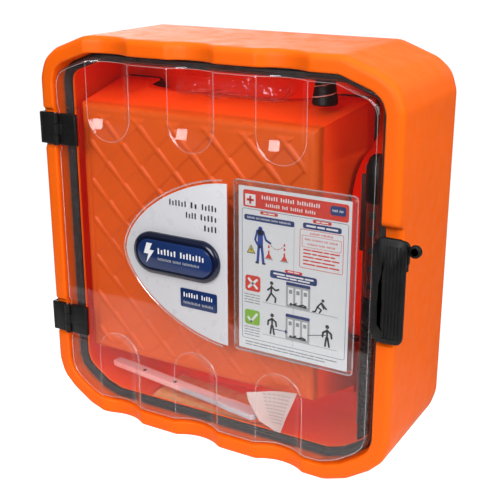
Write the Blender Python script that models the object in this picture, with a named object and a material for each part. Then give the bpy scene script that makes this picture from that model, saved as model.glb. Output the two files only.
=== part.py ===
"""Electrical rescue kit cabinet: a moulded orange wall cabinet with a clear hinged door.

Metres, +Z up, front towards -Y. The origin lies on the flat underside, at the middle of the
cabinet's width and depth. The cabinet holds an insulating stool, a bagged pair of insulating
gloves and small tools. The door carries a label plate and a card in a clear pocket.
"""
import math

import bmesh
import bpy
from mathutils import Matrix, Vector

MM = 0.001

# Cabinet
WIDTH, HEIGHT, DEPTH = 0.720, 0.750, 0.280
FRONT, BACK, MID_Z = -DEPTH / 2, DEPTH / 2, HEIGHT / 2
WALL = 0.005
RIM_WIDTH = 0.030
RIM_DEPTH = 0.040          # rim front to ledge front
LEDGE_WIDTH = 0.018
SIDE_TAPER = 0.0035
FRONT_ROUND, BACK_ROUND = 0.012, 0.040
TOP_CORNER = [(0.255, 0.375), (0.322, 0.350), (0.349, 0.329), (0.360, 0.295)]
BOTTOM_CORNER = [(0.360, -0.275), (0.350, -0.308), (0.325, -0.333), (0.284, -0.360), (0.240, -0.375)]
GAP = 0.0003               # between pieces that touch

# Flutes: round upright grooves at the top and bottom of the front
FLUTE_XS = (-0.204, -0.027, 0.149)
FLUTE_WIDTH, FLUTE_DEPTH, FLUTE_END = 0.095, 0.017, 0.188
FLUTE_RADIUS = (FLUTE_WIDTH ** 2 / 4 + FLUTE_DEPTH ** 2) / (2 * FLUTE_DEPTH)
FLUTE_SIDES = 40

# Door
DOOR_INSET, DOOR_SHIFT_X, DOOR_SHIFT_Z = 0.0365, -0.0018, -0.003
DOOR_FACE, DOOR_BACK, SHEET = FRONT + 0.002, FRONT + 0.032, 0.003
DOOR_LEFT = -WIDTH / 2 + DOOR_INSET + DOOR_SHIFT_X
DOOR_RIGHT = WIDTH / 2 - DOOR_INSET + DOOR_SHIFT_X
GASKET_THICK = 0.0065

# Hinges
HINGE_X, HINGE_Y = -0.324, FRONT - 0.002
HINGE_ZS = (MID_Z + 0.2015, MID_Z - 0.179)
HINGE_HEIGHT, HINGE_REACH = 0.060, 0.046
KNUCKLE_RADIUS, PIN_RADIUS, PIN_CLEARANCE = 0.006, 0.0025, 0.0003
LEAF_THICK = 0.0035
HINGE_RECESS = 0.0045
NOTCH_HEIGHT, NOTCH_DEPTH = 0.080, 0.0045

# Latch
LATCH_X, LATCH_Y = 0.3255, FRONT - 0.003
LATCH_TOP, LATCH_BOTTOM, LATCH_RIGHT = MID_Z + 0.099, MID_Z - 0.080, 0.378
LATCH_FACE = FRONT - 0.009
LATCH_PLATE = 0.0055
SCOOP_TOP, SCOOP_BOTTOM, SCOOP_FLOOR = MID_Z + 0.113, MID_Z - 0.087, FRONT + 0.022
EYE_X, EYE_Z, EYE_RADIUS, EYE_HOLE = 0.388, MID_Z + 0.080, 0.0105, 0.0048

# Label plate, badge and tag on the door
LABEL_RIGHT, LABEL_TOP, LABEL_BOTTOM, LABEL_TIP = 0.046, MID_Z + 0.144, MID_Z - 0.156, -0.173
LABEL_THICK = 0.0025
BADGE_X, BADGE_Z, BADGE_LENGTH, BADGE_HEIGHT, BADGE_RISE = -0.059, MID_Z - 0.004, 0.184, 0.078, 0.009
TAG_X, TAG_Z, TAG_LENGTH, TAG_HEIGHT = -0.014, MID_Z - 0.080, 0.078, 0.036

# Card and its pocket on the door
CARD_WIDTH, CARD_HEIGHT, CARD_THICK = 0.210, 0.297, 0.0008
CARD_X, CARD_Z = 0.176, MID_Z - 0.0015
POCKET_WIDTH, POCKET_HEIGHT, POCKET_THICK, POCKET_SHEET = 0.231, 0.314, 0.0045, 0.001
POCKET_BACK_SHEET = 0.0022

# Stool, standing on edge with its top towards the door
STOOL_X, STOOL_Z, STOOL_TOP = -0.058, MID_Z - 0.005, FRONT + 0.050
STOOL_SIZE, STOOL_HEIGHT, STOOL_SPREAD, STOOL_WALL = 0.500, 0.205, 0.030, 0.005
STOOL_CORNER = 0.022
ARCH_WIDTH, ARCH_HEIGHT = 0.330, 0.105
FOOT_SIZE, FOOT_HEIGHT = 0.088, 0.030

REST_WIDTH, REST_DEPTH, REST_HEIGHT = 0.046, 0.060, 0.028    # brackets under the lower feet

FLOOR_Z = WALL             # inner floor of the cabinet

ORANGE = (0.90, 0.16, 0.012)
ORANGE_STOOL = (0.78, 0.115, 0.015)
BLACK = (0.012, 0.012, 0.013)
GREY_WHITE = (0.80, 0.81, 0.83)
NAVY = (0.012, 0.030, 0.115)


# ---------------------------------------------------------------- scene and materials

def clear_scene():
    """Remove every object, so that the script can be run again."""
    for item in list(bpy.data.objects):
        bpy.data.objects.remove(item, do_unlink=True)


def make_collection(name):
    """Return a new collection linked to the scene."""
    collection = bpy.data.collections.new(name)
    bpy.context.scene.collection.children.link(collection)
    return collection


def make_material(name, colour, roughness, metallic=0.0, alpha=1.0):
    """Return a Principled material."""
    material = bpy.data.materials.new(name)
    material.use_nodes = True
    shader = material.node_tree.nodes["Principled BSDF"]
    shader.inputs["Base Color"].default_value = (*colour, 1.0)
    shader.inputs["Roughness"].default_value = roughness
    shader.inputs["Metallic"].default_value = metallic
    shader.inputs["Alpha"].default_value = alpha
    return material


clear_scene()
PARTS = make_collection("rescue_kit_cabinet")
CUTTERS = make_collection("cutters")


def add_object(name, bm, colour=None, roughness=0.5, metallic=0.0, alpha=1.0):
    """Turn a bmesh into an object: a part if it has a colour, else a cutter."""
    bmesh.ops.recalc_face_normals(bm, faces=bm.faces)
    mesh = bpy.data.meshes.new(name)
    bm.to_mesh(mesh)
    bm.free()
    item = bpy.data.objects.new(name, mesh)
    if colour is None:
        CUTTERS.objects.link(item)
        item.hide_render = True
        item.display_type = "WIRE"
    else:
        PARTS.objects.link(item)
        mesh.materials.append(make_material(name, colour, roughness, metallic, alpha))
    return item


def combine(target, other, operation="DIFFERENCE"):
    """Add a Boolean modifier to target."""
    modifier = target.modifiers.new(other.name, "BOOLEAN")
    modifier.operation = operation
    modifier.object = other
    modifier.solver = "EXACT"


def set_origin(item, point):
    """Move an object's origin to point and keep its mesh where it is."""
    point = Vector(point)
    item.data.transform(Matrix.Translation(-point))
    item.location = point


# ---------------------------------------------------------------- outlines

def inset_polygon(points, distance):
    """Return the convex outline moved inwards by distance."""
    count = len(points)
    area = sum(points[i][0] * points[(i + 1) % count][1] - points[(i + 1) % count][0] * points[i][1]
               for i in range(count))
    side = 1.0 if area > 0 else -1.0
    lines = []
    for i in range(count):
        start, end = Vector(points[i]), Vector(points[(i + 1) % count])
        along = (end - start).normalized()
        normal = Vector((-along.y, along.x)) * side
        lines.append((start + normal * distance, along))
    result = []
    for i in range(count):
        (p, u), (q, v) = lines[i - 1], lines[i]
        cross = u.x * v.y - u.y * v.x
        t = ((q.x - p.x) * v.y - (q.y - p.y) * v.x) / cross
        corner = p + u * t
        result.append((corner.x, corner.y))
    return result


def cabinet_outline(inset=0.0, shift=(0.0, 0.0)):
    """Outline of the cabinet in X and Z, moved inwards by inset."""
    right = TOP_CORNER + BOTTOM_CORNER
    left = [(-x, z) for x, z in reversed(right)]
    moved = inset_polygon(right + left, inset) if inset else right + left
    return [(x + shift[0], z + MID_Z + shift[1]) for x, z in moved]


def rounded_rectangle(centre_x, centre_z, width, height, radius, steps=3):
    """Rectangle with round corners, in X and Z."""
    points = []
    for corner, (sx, sz) in enumerate(((1, 1), (-1, 1), (-1, -1), (1, -1))):
        cx = centre_x + sx * (width / 2 - radius)
        cz = centre_z + sz * (height / 2 - radius)
        for step in range(steps + 1):
            angle = math.pi / 2 * (corner + step / steps)
            points.append((cx + radius * math.cos(angle), cz + radius * math.sin(angle)))
    return points


def label_outline(grow=0.0, steps=24):
    """D-shaped outline of the label plate: straight on the right, pointed to the left."""
    half = (LABEL_TOP - LABEL_BOTTOM) / 2 + grow
    middle = (LABEL_TOP + LABEL_BOTTOM) / 2
    reach = LABEL_RIGHT - LABEL_TIP + grow
    points = []
    for step in range(steps + 1):
        v = -math.cos(math.pi * step / steps)
        u = max(1.0 - abs(v) ** 1.7, 0.0) ** 0.6
        points.append((LABEL_RIGHT + grow - reach * u, middle + half * v))
    return points


# ---------------------------------------------------------------- solids

def prism(front, y_front, y_back, back=None):
    """Solid between an outline at y_front and the same or another outline at y_back."""
    bm = bmesh.new()
    face = bm.faces.new([bm.verts.new((x, y_front, z)) for x, z in front])
    grown = bmesh.ops.extrude_face_region(bm, geom=[face])["geom"]
    rear = [v for v in grown if isinstance(v, bmesh.types.BMVert)]
    bmesh.ops.translate(bm, verts=rear, vec=(0, y_back - y_front, 0))
    if back is not None:
        match = {(round(x, 6), round(z, 6)): target for (x, z), target in zip(front, back)}
        for vert in rear:
            vert.co.x, vert.co.z = match[(round(vert.co.x, 6), round(vert.co.z, 6))]
    return bm


def round_ring(bm, y, width, segments):
    """Bevel the outline edges that lie at y."""
    edges = [e for e in bm.edges if all(abs(v.co.y - y) < 1e-5 for v in e.verts)]
    bmesh.ops.bevel(bm, geom=edges, offset=width, segments=segments, profile=0.5,
                    affect="EDGES", clamp_overlap=True, material=-1)
    return bm


def box(low, high, bevel=0.0, segments=2):
    """Solid box between two corners, with its edges rounded if bevel is given."""
    bm = bmesh.new()
    size = Vector(high) - Vector(low)
    middle = (Vector(high) + Vector(low)) / 2
    bmesh.ops.create_cube(bm, size=1.0, matrix=Matrix.Translation(middle) @ Matrix.Diagonal((*size, 1)))
    if bevel:
        bmesh.ops.bevel(bm, geom=bm.edges[:], offset=bevel, segments=segments, profile=0.5,
                        affect="EDGES", clamp_overlap=True, material=-1)
    return bm


def cylinder(centre, radius, length, axis="Z", sides=16, radius_end=None):
    """Solid cylinder, or cone, centred at a point along X, Y or Z."""
    turn = {"X": Matrix.Rotation(math.pi / 2, 4, "Y"), "Y": Matrix.Rotation(math.pi / 2, 4, "X"),
            "Z": Matrix.Identity(4)}[axis]
    bm = bmesh.new()
    bmesh.ops.create_cone(bm, cap_ends=True, segments=sides, radius1=radius,
                          radius2=radius if radius_end is None else radius_end, depth=length,
                          matrix=Matrix.Translation(centre) @ turn)
    return bm


def flute(x, side, radius):
    """Upright round-ended cutter of one flute, at the top (side 1) or bottom (side -1)."""
    axis_y = FRONT - (FLUTE_RADIUS - FLUTE_DEPTH)
    end_centre = FLUTE_END + FLUTE_WIDTH / 2
    bm = bmesh.new()
    arc = [(radius * math.sin(a), end_centre - radius * math.cos(a))
           for a in (math.pi / 2 * step / 10 for step in range(11))]
    profile = arc + [(radius, HEIGHT / 2 + 0.02), (0.0, HEIGHT / 2 + 0.02)]
    verts = [bm.verts.new((r, 0, z * side)) for r, z in profile]
    edges = [bm.edges.new(pair) for pair in zip(verts, verts[1:])]
    bmesh.ops.spin(bm, geom=verts + edges, cent=(0, 0, 0), axis=(0, 0, 1), angle=2 * math.pi,
                   steps=FLUTE_SIDES, use_merge=True, use_duplicate=False)
    bmesh.ops.remove_doubles(bm, verts=bm.verts, dist=1e-5)
    bmesh.ops.translate(bm, verts=bm.verts, vec=(x, axis_y, MID_Z))
    return bm


def flute_cutters(prefix, grow=0.0):
    """Cutter objects of all six flutes."""
    return [add_object(f"{prefix}_{x * 1000:.0f}_{side}", flute(x, side, FLUTE_RADIUS + grow))
            for x in FLUTE_XS for side in (1, -1)]


# ---------------------------------------------------------------- cabinet

def build_shell():
    """Moulded cabinet: rim with flutes, ledge for the gasket, cavity, scoop and recesses."""
    rear = [(x * (1 - 2 * SIDE_TAPER / WIDTH), z) for x, z in cabinet_outline()]
    body = prism(cabinet_outline(), FRONT, BACK, rear)
    round_ring(body, BACK, BACK_ROUND, 4)
    round_ring(body, FRONT, FRONT_ROUND, 3)
    shell = add_object("cabinet_shell", body, ORANGE, 0.45)

    ledge_front = FRONT + RIM_DEPTH
    inner_rear = [(x * (1 - 2 * SIDE_TAPER / WIDTH), z) for x, z in cabinet_outline(WALL)]
    cavity = prism(cabinet_outline(WALL), ledge_front + WALL, BACK - WALL, inner_rear)
    round_ring(cavity, BACK - WALL, BACK_ROUND - WALL, 4)
    mouth = prism(cabinet_outline(RIM_WIDTH), FRONT - 0.02, ledge_front)
    throat = prism(cabinet_outline(RIM_WIDTH + LEDGE_WIDTH), ledge_front - 0.005, ledge_front + WALL + 0.005)
    scoop = box((WIDTH / 2 - RIM_WIDTH - 0.020, FRONT - 0.02, SCOOP_BOTTOM), (WIDTH / 2 + 0.03, SCOOP_FLOOR, SCOOP_TOP), 0.008)
    cutters = [add_object("cut_cavity", cavity), add_object("cut_mouth", mouth),
               add_object("cut_throat", throat), add_object("cut_scoop", scoop)]
    for number, z in enumerate(HINGE_ZS):
        recess = box((-WIDTH / 2 - 0.02, FRONT - 0.02, z - HINGE_HEIGHT / 2 - 0.006),
                     (-WIDTH / 2 + RIM_WIDTH + 0.01, FRONT + HINGE_RECESS, z + HINGE_HEIGHT / 2 + 0.006), 0.002, 1)
        cutters.append(add_object(f"cut_hinge_recess_{number}", recess))
    for cutter in cutters + flute_cutters("cut_rim_flute"):
        combine(shell, cutter)
    for number, side in enumerate((-1, 1)):
        foot_x = STOOL_X + side * stool_foot_offset()
        top = STOOL_Z - stool_foot_offset() - FOOT_SIZE / 2 - 0.001
        rest = box((foot_x - REST_WIDTH / 2, BACK - REST_DEPTH, top - REST_HEIGHT),
                   (foot_x + REST_WIDTH / 2, BACK - WALL / 2, top))
        combine(shell, add_object(f"join_stool_rest_{number}", rest), "UNION")


def build_gasket():
    """Rubber gasket on the ledge, all round the opening."""
    back = FRONT + RIM_DEPTH - GAP
    ring = add_object("door_gasket", prism(cabinet_outline(RIM_WIDTH + 0.001), back - GASKET_THICK, back), BLACK, 0.7)
    hole = prism(cabinet_outline(RIM_WIDTH + LEDGE_WIDTH - 0.0005), back - 0.02, back + 0.01)
    combine(ring, add_object("cut_gasket", hole))


# ---------------------------------------------------------------- door

def notch(z, grow, depth):
    """Cutter of the pad that a hinge lies on."""
    return box((DOOR_LEFT - 0.02, FRONT - 0.02, z - NOTCH_HEIGHT / 2 - grow),
               (HINGE_X + HINGE_REACH + 0.003 + grow, depth, z + NOTCH_HEIGHT / 2 + grow), 0.0025, 1)


def build_door():
    """Clear thermoformed door: a shallow tray with the flutes and two hinge pads formed in it."""
    shift = (DOOR_SHIFT_X, DOOR_SHIFT_Z)
    tray = prism(cabinet_outline(DOOR_INSET, shift), DOOR_FACE, DOOR_BACK)
    round_ring(tray, DOOR_FACE, 0.005, 2)
    door = add_object("door_panel", tray, (0.85, 0.87, 0.88), 0.08, 0.0, 0.25)
    core = prism(cabinet_outline(DOOR_INSET + SHEET, shift), DOOR_FACE + SHEET, DOOR_BACK + 0.01)
    round_ring(core, DOOR_FACE + SHEET, 0.003, 2)
    hollow = add_object("cut_door_hollow", core)
    for cutter in flute_cutters("cut_door_flute_back", SHEET):
        combine(hollow, cutter)
    for number, z in enumerate(HINGE_ZS):
        pad = DOOR_FACE + NOTCH_DEPTH
        combine(hollow, add_object(f"cut_notch_back_{number}", notch(z, SHEET, pad + SHEET)))
        combine(door, add_object(f"cut_notch_{number}", notch(z, 0.0, pad)))
    for cutter in flute_cutters("cut_door_flute"):
        combine(door, cutter)
    combine(door, hollow)
    set_origin(door, (HINGE_X, HINGE_Y, 0))


def build_label():
    """Label plate with a raised badge and a voltage tag."""
    plate_back = DOOR_FACE - GAP
    plate_front = plate_back - LABEL_THICK
    plate = add_object("label_plate", round_ring(prism(label_outline(), plate_front, plate_back),
                                                 plate_front, 0.0006, 1), GREY_WHITE, 0.35)
    badge_back = plate_front - GAP
    badge_front = badge_back - BADGE_RISE
    radius = BADGE_HEIGHT / 2 - 0.0001
    outer = prism(rounded_rectangle(BADGE_X, BADGE_Z, BADGE_LENGTH, BADGE_HEIGHT, radius, 8), badge_front, badge_back)
    badge = add_object("badge_body", round_ring(outer, badge_front, 0.006, 3), (0.010, 0.014, 0.045), 0.25)
    inner = rounded_rectangle(BADGE_X, BADGE_Z, BADGE_LENGTH - 0.024, BADGE_HEIGHT - 0.024, radius - 0.012, 8)
    face_front = badge_front - GAP - 0.0012
    face = add_object("badge_face", prism(inner, face_front, badge_front - GAP), NAVY, 0.2)
    tag_outline = rounded_rectangle(TAG_X, TAG_Z, TAG_LENGTH, TAG_HEIGHT, 0.003, 2)
    tag = add_object("voltage_tag", prism(tag_outline, plate_front - GAP - 0.001, plate_front - GAP), NAVY, 0.3)
    for item in (plate, badge, face, tag):
        set_origin(item, (HINGE_X, HINGE_Y, 0))


def build_pocket():
    """Clear pocket on the door, open at the top, with the instruction card in it."""
    back = DOOR_FACE - GAP
    front = back - POCKET_THICK
    outline = rounded_rectangle(CARD_X, MID_Z, POCKET_WIDTH, POCKET_HEIGHT, 0.008, 3)
    pocket = add_object("card_pocket", prism(outline, front, back), (0.9, 0.9, 0.9), 0.1, 0.0, 0.3)
    slot = box((CARD_X - CARD_WIDTH / 2 - 0.0015, front + POCKET_SHEET, CARD_Z - CARD_HEIGHT / 2 - 0.001),
               (CARD_X + CARD_WIDTH / 2 + 0.0015, back - POCKET_BACK_SHEET, MID_Z + POCKET_HEIGHT))
    combine(pocket, add_object("cut_card_slot", slot))
    middle = (front + POCKET_SHEET + back - POCKET_BACK_SHEET) / 2
    card = add_object("instruction_card", box(
        (CARD_X - CARD_WIDTH / 2, middle - CARD_THICK / 2, CARD_Z - CARD_HEIGHT / 2),
        (CARD_X + CARD_WIDTH / 2, middle + CARD_THICK / 2, CARD_Z + CARD_HEIGHT / 2)), (0.85, 0.85, 0.86), 0.4)
    for number, (sx, sz) in enumerate(((-1, 1), (1, 1), (-1, -1), (1, -1)), 1):
        centre = (CARD_X + sx * 0.1108, front - GAP - 0.001, MID_Z + sz * 0.149)
        add_object(f"pocket_rivet_{number}", cylinder(centre, 0.0032, 0.002, "Y", 12), (0.45, 0.10, 0.08), 0.4)
    for item in (pocket, card):
        set_origin(item, (HINGE_X, HINGE_Y, 0))


# ---------------------------------------------------------------- hinges

def hinge_bore(name, z):
    """Cutter of the pin's bore."""
    return add_object(name, cylinder((HINGE_X, HINGE_Y, z), PIN_RADIUS + PIN_CLEARANCE, HINGE_HEIGHT + 0.01, sides=12))


def build_hinge(place, z):
    """One hinge: a leaf on the rim, a leaf on the door and the pin between them."""
    low, high = z - HINGE_HEIGHT / 2, z + HINGE_HEIGHT / 2
    third = HINGE_HEIGHT / 3
    leaf_front = HINGE_Y - KNUCKLE_RADIUS
    rim_back = FRONT + HINGE_RECESS - GAP
    frame_leaf = add_object(f"hinge_frame_leaf_{place}", box(
        (-WIDTH / 2 - 0.0022, rim_back - 0.0070, low), (HINGE_X, rim_back, high), 0.0015, 2), BLACK, 0.45)
    side_return = box((-WIDTH / 2 - 0.0022, rim_back - 0.003, low + 0.001),
                      (-WIDTH / 2 - GAP, FRONT + 0.022, high - 0.001))
    combine(frame_leaf, add_object(f"join_return_{place}", side_return), "UNION")
    knuckle = cylinder((HINGE_X, HINGE_Y, z), KNUCKLE_RADIUS, HINGE_HEIGHT, sides=16)
    combine(frame_leaf, add_object(f"join_frame_knuckle_{place}", knuckle), "UNION")
    clear = box((HINGE_X - KNUCKLE_RADIUS - 0.001, leaf_front - 0.01, z - third / 2 - GAP),
                (HINGE_X + 0.05, rim_back + 0.01, z + third / 2 + GAP))
    combine(frame_leaf, add_object(f"cut_frame_gap_{place}", clear))
    combine(frame_leaf, hinge_bore(f"cut_frame_bore_{place}", z))

    pad = DOOR_FACE + NOTCH_DEPTH - GAP
    door_leaf = add_object(f"hinge_door_leaf_{place}", box(
        (HINGE_X + KNUCKLE_RADIUS + 0.0008, pad - LEAF_THICK, low), (HINGE_X + HINGE_REACH, pad, high), 0.001, 1),
        BLACK, 0.45)
    tongue = box((HINGE_X, HINGE_Y, z - third / 2), (HINGE_X + 0.012, pad - 0.0004, z + third / 2))
    combine(door_leaf, add_object(f"join_tongue_{place}", tongue), "UNION")
    door_knuckle = cylinder((HINGE_X, HINGE_Y, z), KNUCKLE_RADIUS, third, sides=16)
    combine(door_leaf, add_object(f"join_door_knuckle_{place}", door_knuckle), "UNION")
    combine(door_leaf, hinge_bore(f"cut_door_bore_{place}", z))
    set_origin(door_leaf, (HINGE_X, HINGE_Y, z))
    add_object(f"hinge_pin_{place}", cylinder((HINGE_X, HINGE_Y, z), PIN_RADIUS, HINGE_HEIGHT + 0.002, sides=12),
               (0.35, 0.35, 0.36), 0.3, 1.0)


def build_hinge_nuts():
    """Nuts behind the door that clamp the two door leaves."""
    front = DOOR_FACE + NOTCH_DEPTH + SHEET + GAP
    heights = [z + offset for z in HINGE_ZS for offset in (0.018, -0.018)]
    for number, z in enumerate(heights, 1):
        nut = cylinder((HINGE_X + 0.028, front + 0.002, z), 0.0045, 0.004, "Y", 6)
        add_object(f"hinge_nut_{number}", nut, (0.45, 0.45, 0.46), 0.35, 1.0)


# ---------------------------------------------------------------- latch

def latch_lug_heights():
    """Low and high ends of the two lugs that hold the latch's pin."""
    return [(MID_Z - 0.052, MID_Z - 0.038), (MID_Z + 0.058, MID_Z + 0.072)]


def build_latch():
    """Over-centre latch: bracket and pin on the door, ribbed lever, catch on the cabinet."""
    barrel = 0.005
    bracket = add_object("latch_bracket", box(
        (DOOR_RIGHT + GAP, DOOR_FACE, LATCH_BOTTOM + 0.010),
        (DOOR_RIGHT + GAP + 0.003, DOOR_FACE + 0.022, LATCH_TOP - 0.010)), BLACK, 0.45)
    for number, (low, high) in enumerate(latch_lug_heights()):
        lug = box((DOOR_RIGHT + GAP, LATCH_Y, low), (LATCH_X + barrel - 0.002, DOOR_FACE + 0.006, high))
        combine(bracket, add_object(f"join_lug_{number}", lug), "UNION")
        eye = cylinder((LATCH_X, LATCH_Y, (low + high) / 2), barrel, high - low, sides=16)
        combine(bracket, add_object(f"join_lug_eye_{number}", eye), "UNION")
    bore = cylinder((LATCH_X, LATCH_Y, MID_Z), PIN_RADIUS + PIN_CLEARANCE, 0.3, sides=12)
    bore = add_object("cut_latch_bore", bore)
    combine(bracket, bore)
    set_origin(bracket, (HINGE_X, HINGE_Y, 0))

    middle_x, middle_z = (LATCH_X + LATCH_RIGHT) / 2, (LATCH_TOP + LATCH_BOTTOM) / 2
    width, height = LATCH_RIGHT - LATCH_X, LATCH_TOP - LATCH_BOTTOM
    plate = prism(rounded_rectangle(middle_x, middle_z, width, height, 0.012, 4), LATCH_FACE, LATCH_FACE + LATCH_PLATE)
    lever = add_object("latch_lever", round_ring(plate, LATCH_FACE, 0.001, 1), BLACK, 0.5)
    tube = cylinder((LATCH_X, LATCH_Y, middle_z), barrel, height - 0.026, sides=16)
    combine(lever, add_object("join_lever_barrel", tube), "UNION")
    nose = box((LATCH_X + 0.004, LATCH_Y, MID_Z - 0.020), (LATCH_X + 0.0095, FRONT + 0.013, MID_Z + 0.030))
    combine(lever, add_object("join_lever_nose", nose), "UNION")
    for number in range(5):
        x = LATCH_X + 0.016 + number * 0.0075
        rib = box((x, LATCH_FACE - 0.0018, LATCH_BOTTOM + 0.012), (x + 0.0028, LATCH_FACE + 0.001, LATCH_TOP - 0.014))
        combine(lever, add_object(f"join_lever_rib_{number}", rib), "UNION")
    slot = box((LATCH_X + 0.0085, LATCH_FACE - 0.01, MID_Z - 0.050), (LATCH_X + 0.0145, LATCH_FACE + 0.003, MID_Z + 0.022))
    combine(lever, add_object("cut_lever_slot", slot))
    for number, (low, high) in enumerate(latch_lug_heights()):
        room = box((LATCH_X - 0.02, LATCH_FACE - 0.02, low - 0.0005), (LATCH_X + 0.0075, LATCH_Y + 0.02, high + 0.0005))
        combine(lever, add_object(f"cut_lug_room_{number}", room))
    combine(lever, bore)
    set_origin(lever, (LATCH_X, LATCH_Y, middle_z))
    pin = add_object("latch_pin", cylinder((LATCH_X, LATCH_Y, middle_z), PIN_RADIUS, height - 0.028, sides=12),
                     (0.4, 0.4, 0.41), 0.3, 1.0)
    set_origin(pin, (HINGE_X, HINGE_Y, 0))
    for number, z in enumerate((0.075, 0.010, -0.055), 1):
        centre = (DOOR_RIGHT - SHEET - GAP - 0.001, DOOR_FACE + 0.015, MID_Z + z)
        add_object(f"latch_rivet_{number}", cylinder(centre, 0.004, 0.002, "X", 10), (0.4, 0.4, 0.41), 0.35, 1.0)


def build_catch():
    """Catch on the cabinet's side, with the eye for a padlock."""
    right = WIDTH / 2 + 0.009
    catch = add_object("latch_catch", box(
        (WIDTH / 2 - 0.011, FRONT - 0.0005, MID_Z - 0.072), (right, SCOOP_FLOOR - GAP, MID_Z + 0.062), 0.002, 1),
        BLACK, 0.45)
    arm_front, arm_back = FRONT + 0.001, FRONT + 0.007
    arm = prism(rounded_rectangle(right - 0.004, MID_Z + 0.072, 0.028, 0.044, 0.010, 4), arm_front, arm_back)
    combine(catch, add_object("join_arm", arm), "UNION")
    ring = cylinder((EYE_X, (arm_front + arm_back) / 2, EYE_Z), EYE_RADIUS, arm_back - arm_front - 0.0002, "Y", 20)
    combine(catch, add_object("join_eye", ring), "UNION")
    barrel = cylinder((right + 0.004, FRONT + 0.006, MID_Z + 0.052), 0.0045, 0.016, sides=12)
    combine(catch, add_object("join_roll", barrel), "UNION")
    hole = cylinder((EYE_X, FRONT, EYE_Z), EYE_HOLE, 0.06, "Y", 16)
    combine(catch, add_object("cut_eye", hole))


# ---------------------------------------------------------------- stool

def stool_foot_offset():
    """Distance of a foot's centre from the stool's middle line."""
    return STOOL_SIZE / 2 + STOOL_SPREAD - FOOT_SIZE / 2 - 0.002


def build_stool():
    """Insulating stool: a hollow moulding with four flared legs on rubber feet."""
    leg_end = STOOL_TOP + STOOL_HEIGHT - FOOT_HEIGHT
    spread = STOOL_SPREAD * (STOOL_HEIGHT - FOOT_HEIGHT) / STOOL_HEIGHT
    top = rounded_rectangle(STOOL_X, STOOL_Z, STOOL_SIZE, STOOL_SIZE, STOOL_CORNER, 3)
    end = rounded_rectangle(STOOL_X, STOOL_Z, STOOL_SIZE + 2 * spread, STOOL_SIZE + 2 * spread, STOOL_CORNER, 3)
    body = round_ring(prism(top, STOOL_TOP, leg_end, end), STOOL_TOP, 0.008, 2)
    stool = add_object("stool_body", body, ORANGE_STOOL, 0.55)
    inner = STOOL_SIZE - 2 * STOOL_WALL
    inner_radius = STOOL_CORNER - STOOL_WALL
    extra = 0.01
    hollow = prism(rounded_rectangle(STOOL_X, STOOL_Z, inner, inner, inner_radius, 3),
                   STOOL_TOP + STOOL_WALL, leg_end + extra,
                   rounded_rectangle(STOOL_X, STOOL_Z, inner + 2 * spread, inner + 2 * spread, inner_radius, 3))
    combine(stool, add_object("cut_stool_hollow", hollow))
    arch_front = leg_end - ARCH_HEIGHT + FOOT_HEIGHT
    reach = STOOL_SIZE
    half = ARCH_WIDTH / 2
    across = box((STOOL_X - reach, arch_front, STOOL_Z - half), (STOOL_X + reach, leg_end + 0.03, STOOL_Z + half), 0.025, 3)
    upright = box((STOOL_X - half, arch_front, STOOL_Z - reach), (STOOL_X + half, leg_end + 0.03, STOOL_Z + reach), 0.025, 3)
    combine(stool, add_object("cut_arch_across", across))
    combine(stool, add_object("cut_arch_upright", upright))
    offset = stool_foot_offset()
    for name, sx, sz in (("upper_left", -1, 1), ("upper_right", 1, 1), ("lower_left", -1, -1), ("lower_right", 1, -1)):
        outline = rounded_rectangle(STOOL_X + sx * offset, STOOL_Z + sz * offset, FOOT_SIZE, FOOT_SIZE, 0.020, 3)
        foot = round_ring(prism(outline, leg_end + GAP, STOOL_TOP + STOOL_HEIGHT), STOOL_TOP + STOOL_HEIGHT, 0.004, 1)
        add_object(f"stool_foot_{name}", foot, BLACK, 0.75)


# ---------------------------------------------------------------- contents below and beside the stool

GLOVE_LENGTH, GLOVE_THICK = 0.245, 0.016
GLOVE_X, GLOVE_Y = -0.175, FRONT + 0.116
CORNER_FLOOR = FLOOR_Z + 0.052     # above the slanted lower corner


def glove_outline():
    """Flat outline of a gauntlet glove folded once across its palm, as points in X and Y from its cuff."""
    fold = GLOVE_LENGTH
    return [(0.0, -0.060), (0.150, -0.053), (fold - 0.010, -0.049), (fold, -0.040),
            (fold, 0.040), (fold - 0.010, 0.049), (0.150, 0.053), (0.0, 0.060)]


def build_glove(name, bottom):
    """One folded latex gauntlet lying flat, its cuff to the left."""
    bm = bmesh.new()
    corners = [bm.verts.new((GLOVE_X + x, GLOVE_Y + y, bottom)) for x, y in glove_outline()]
    face = bm.faces.new(corners)
    grown = bmesh.ops.extrude_face_region(bm, geom=[face])["geom"]
    top = [v for v in grown if isinstance(v, bmesh.types.BMVert)]
    bmesh.ops.translate(bm, verts=top, vec=(0, 0, GLOVE_THICK))
    bmesh.ops.triangulate(bm, faces=[f for f in bm.faces if len(f.verts) > 4])
    add_object(name, bm, (0.72, 0.42, 0.16), 0.55)


def build_gloves():
    """The pair of gloves and the clear bag that they are kept in, open at its right end."""
    first = FLOOR_Z + 0.004
    build_glove("glove_left", first)
    build_glove("glove_right", first + GLOVE_THICK + 0.001)
    low = (GLOVE_X - 0.010, GLOVE_Y - 0.066, FLOOR_Z + GAP)
    high = (GLOVE_X + GLOVE_LENGTH + 0.020, GLOVE_Y + 0.066, first + 2 * GLOVE_THICK + 0.006)
    bag = add_object("glove_bag", box(low, high), (0.75, 0.80, 0.88), 0.1, 0.0, 0.3)
    film = 0.001
    room = box([v + film for v in low], [high[0] + 0.01, high[1] - film, high[2] - film])
    combine(bag, add_object("cut_bag", room))


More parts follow.
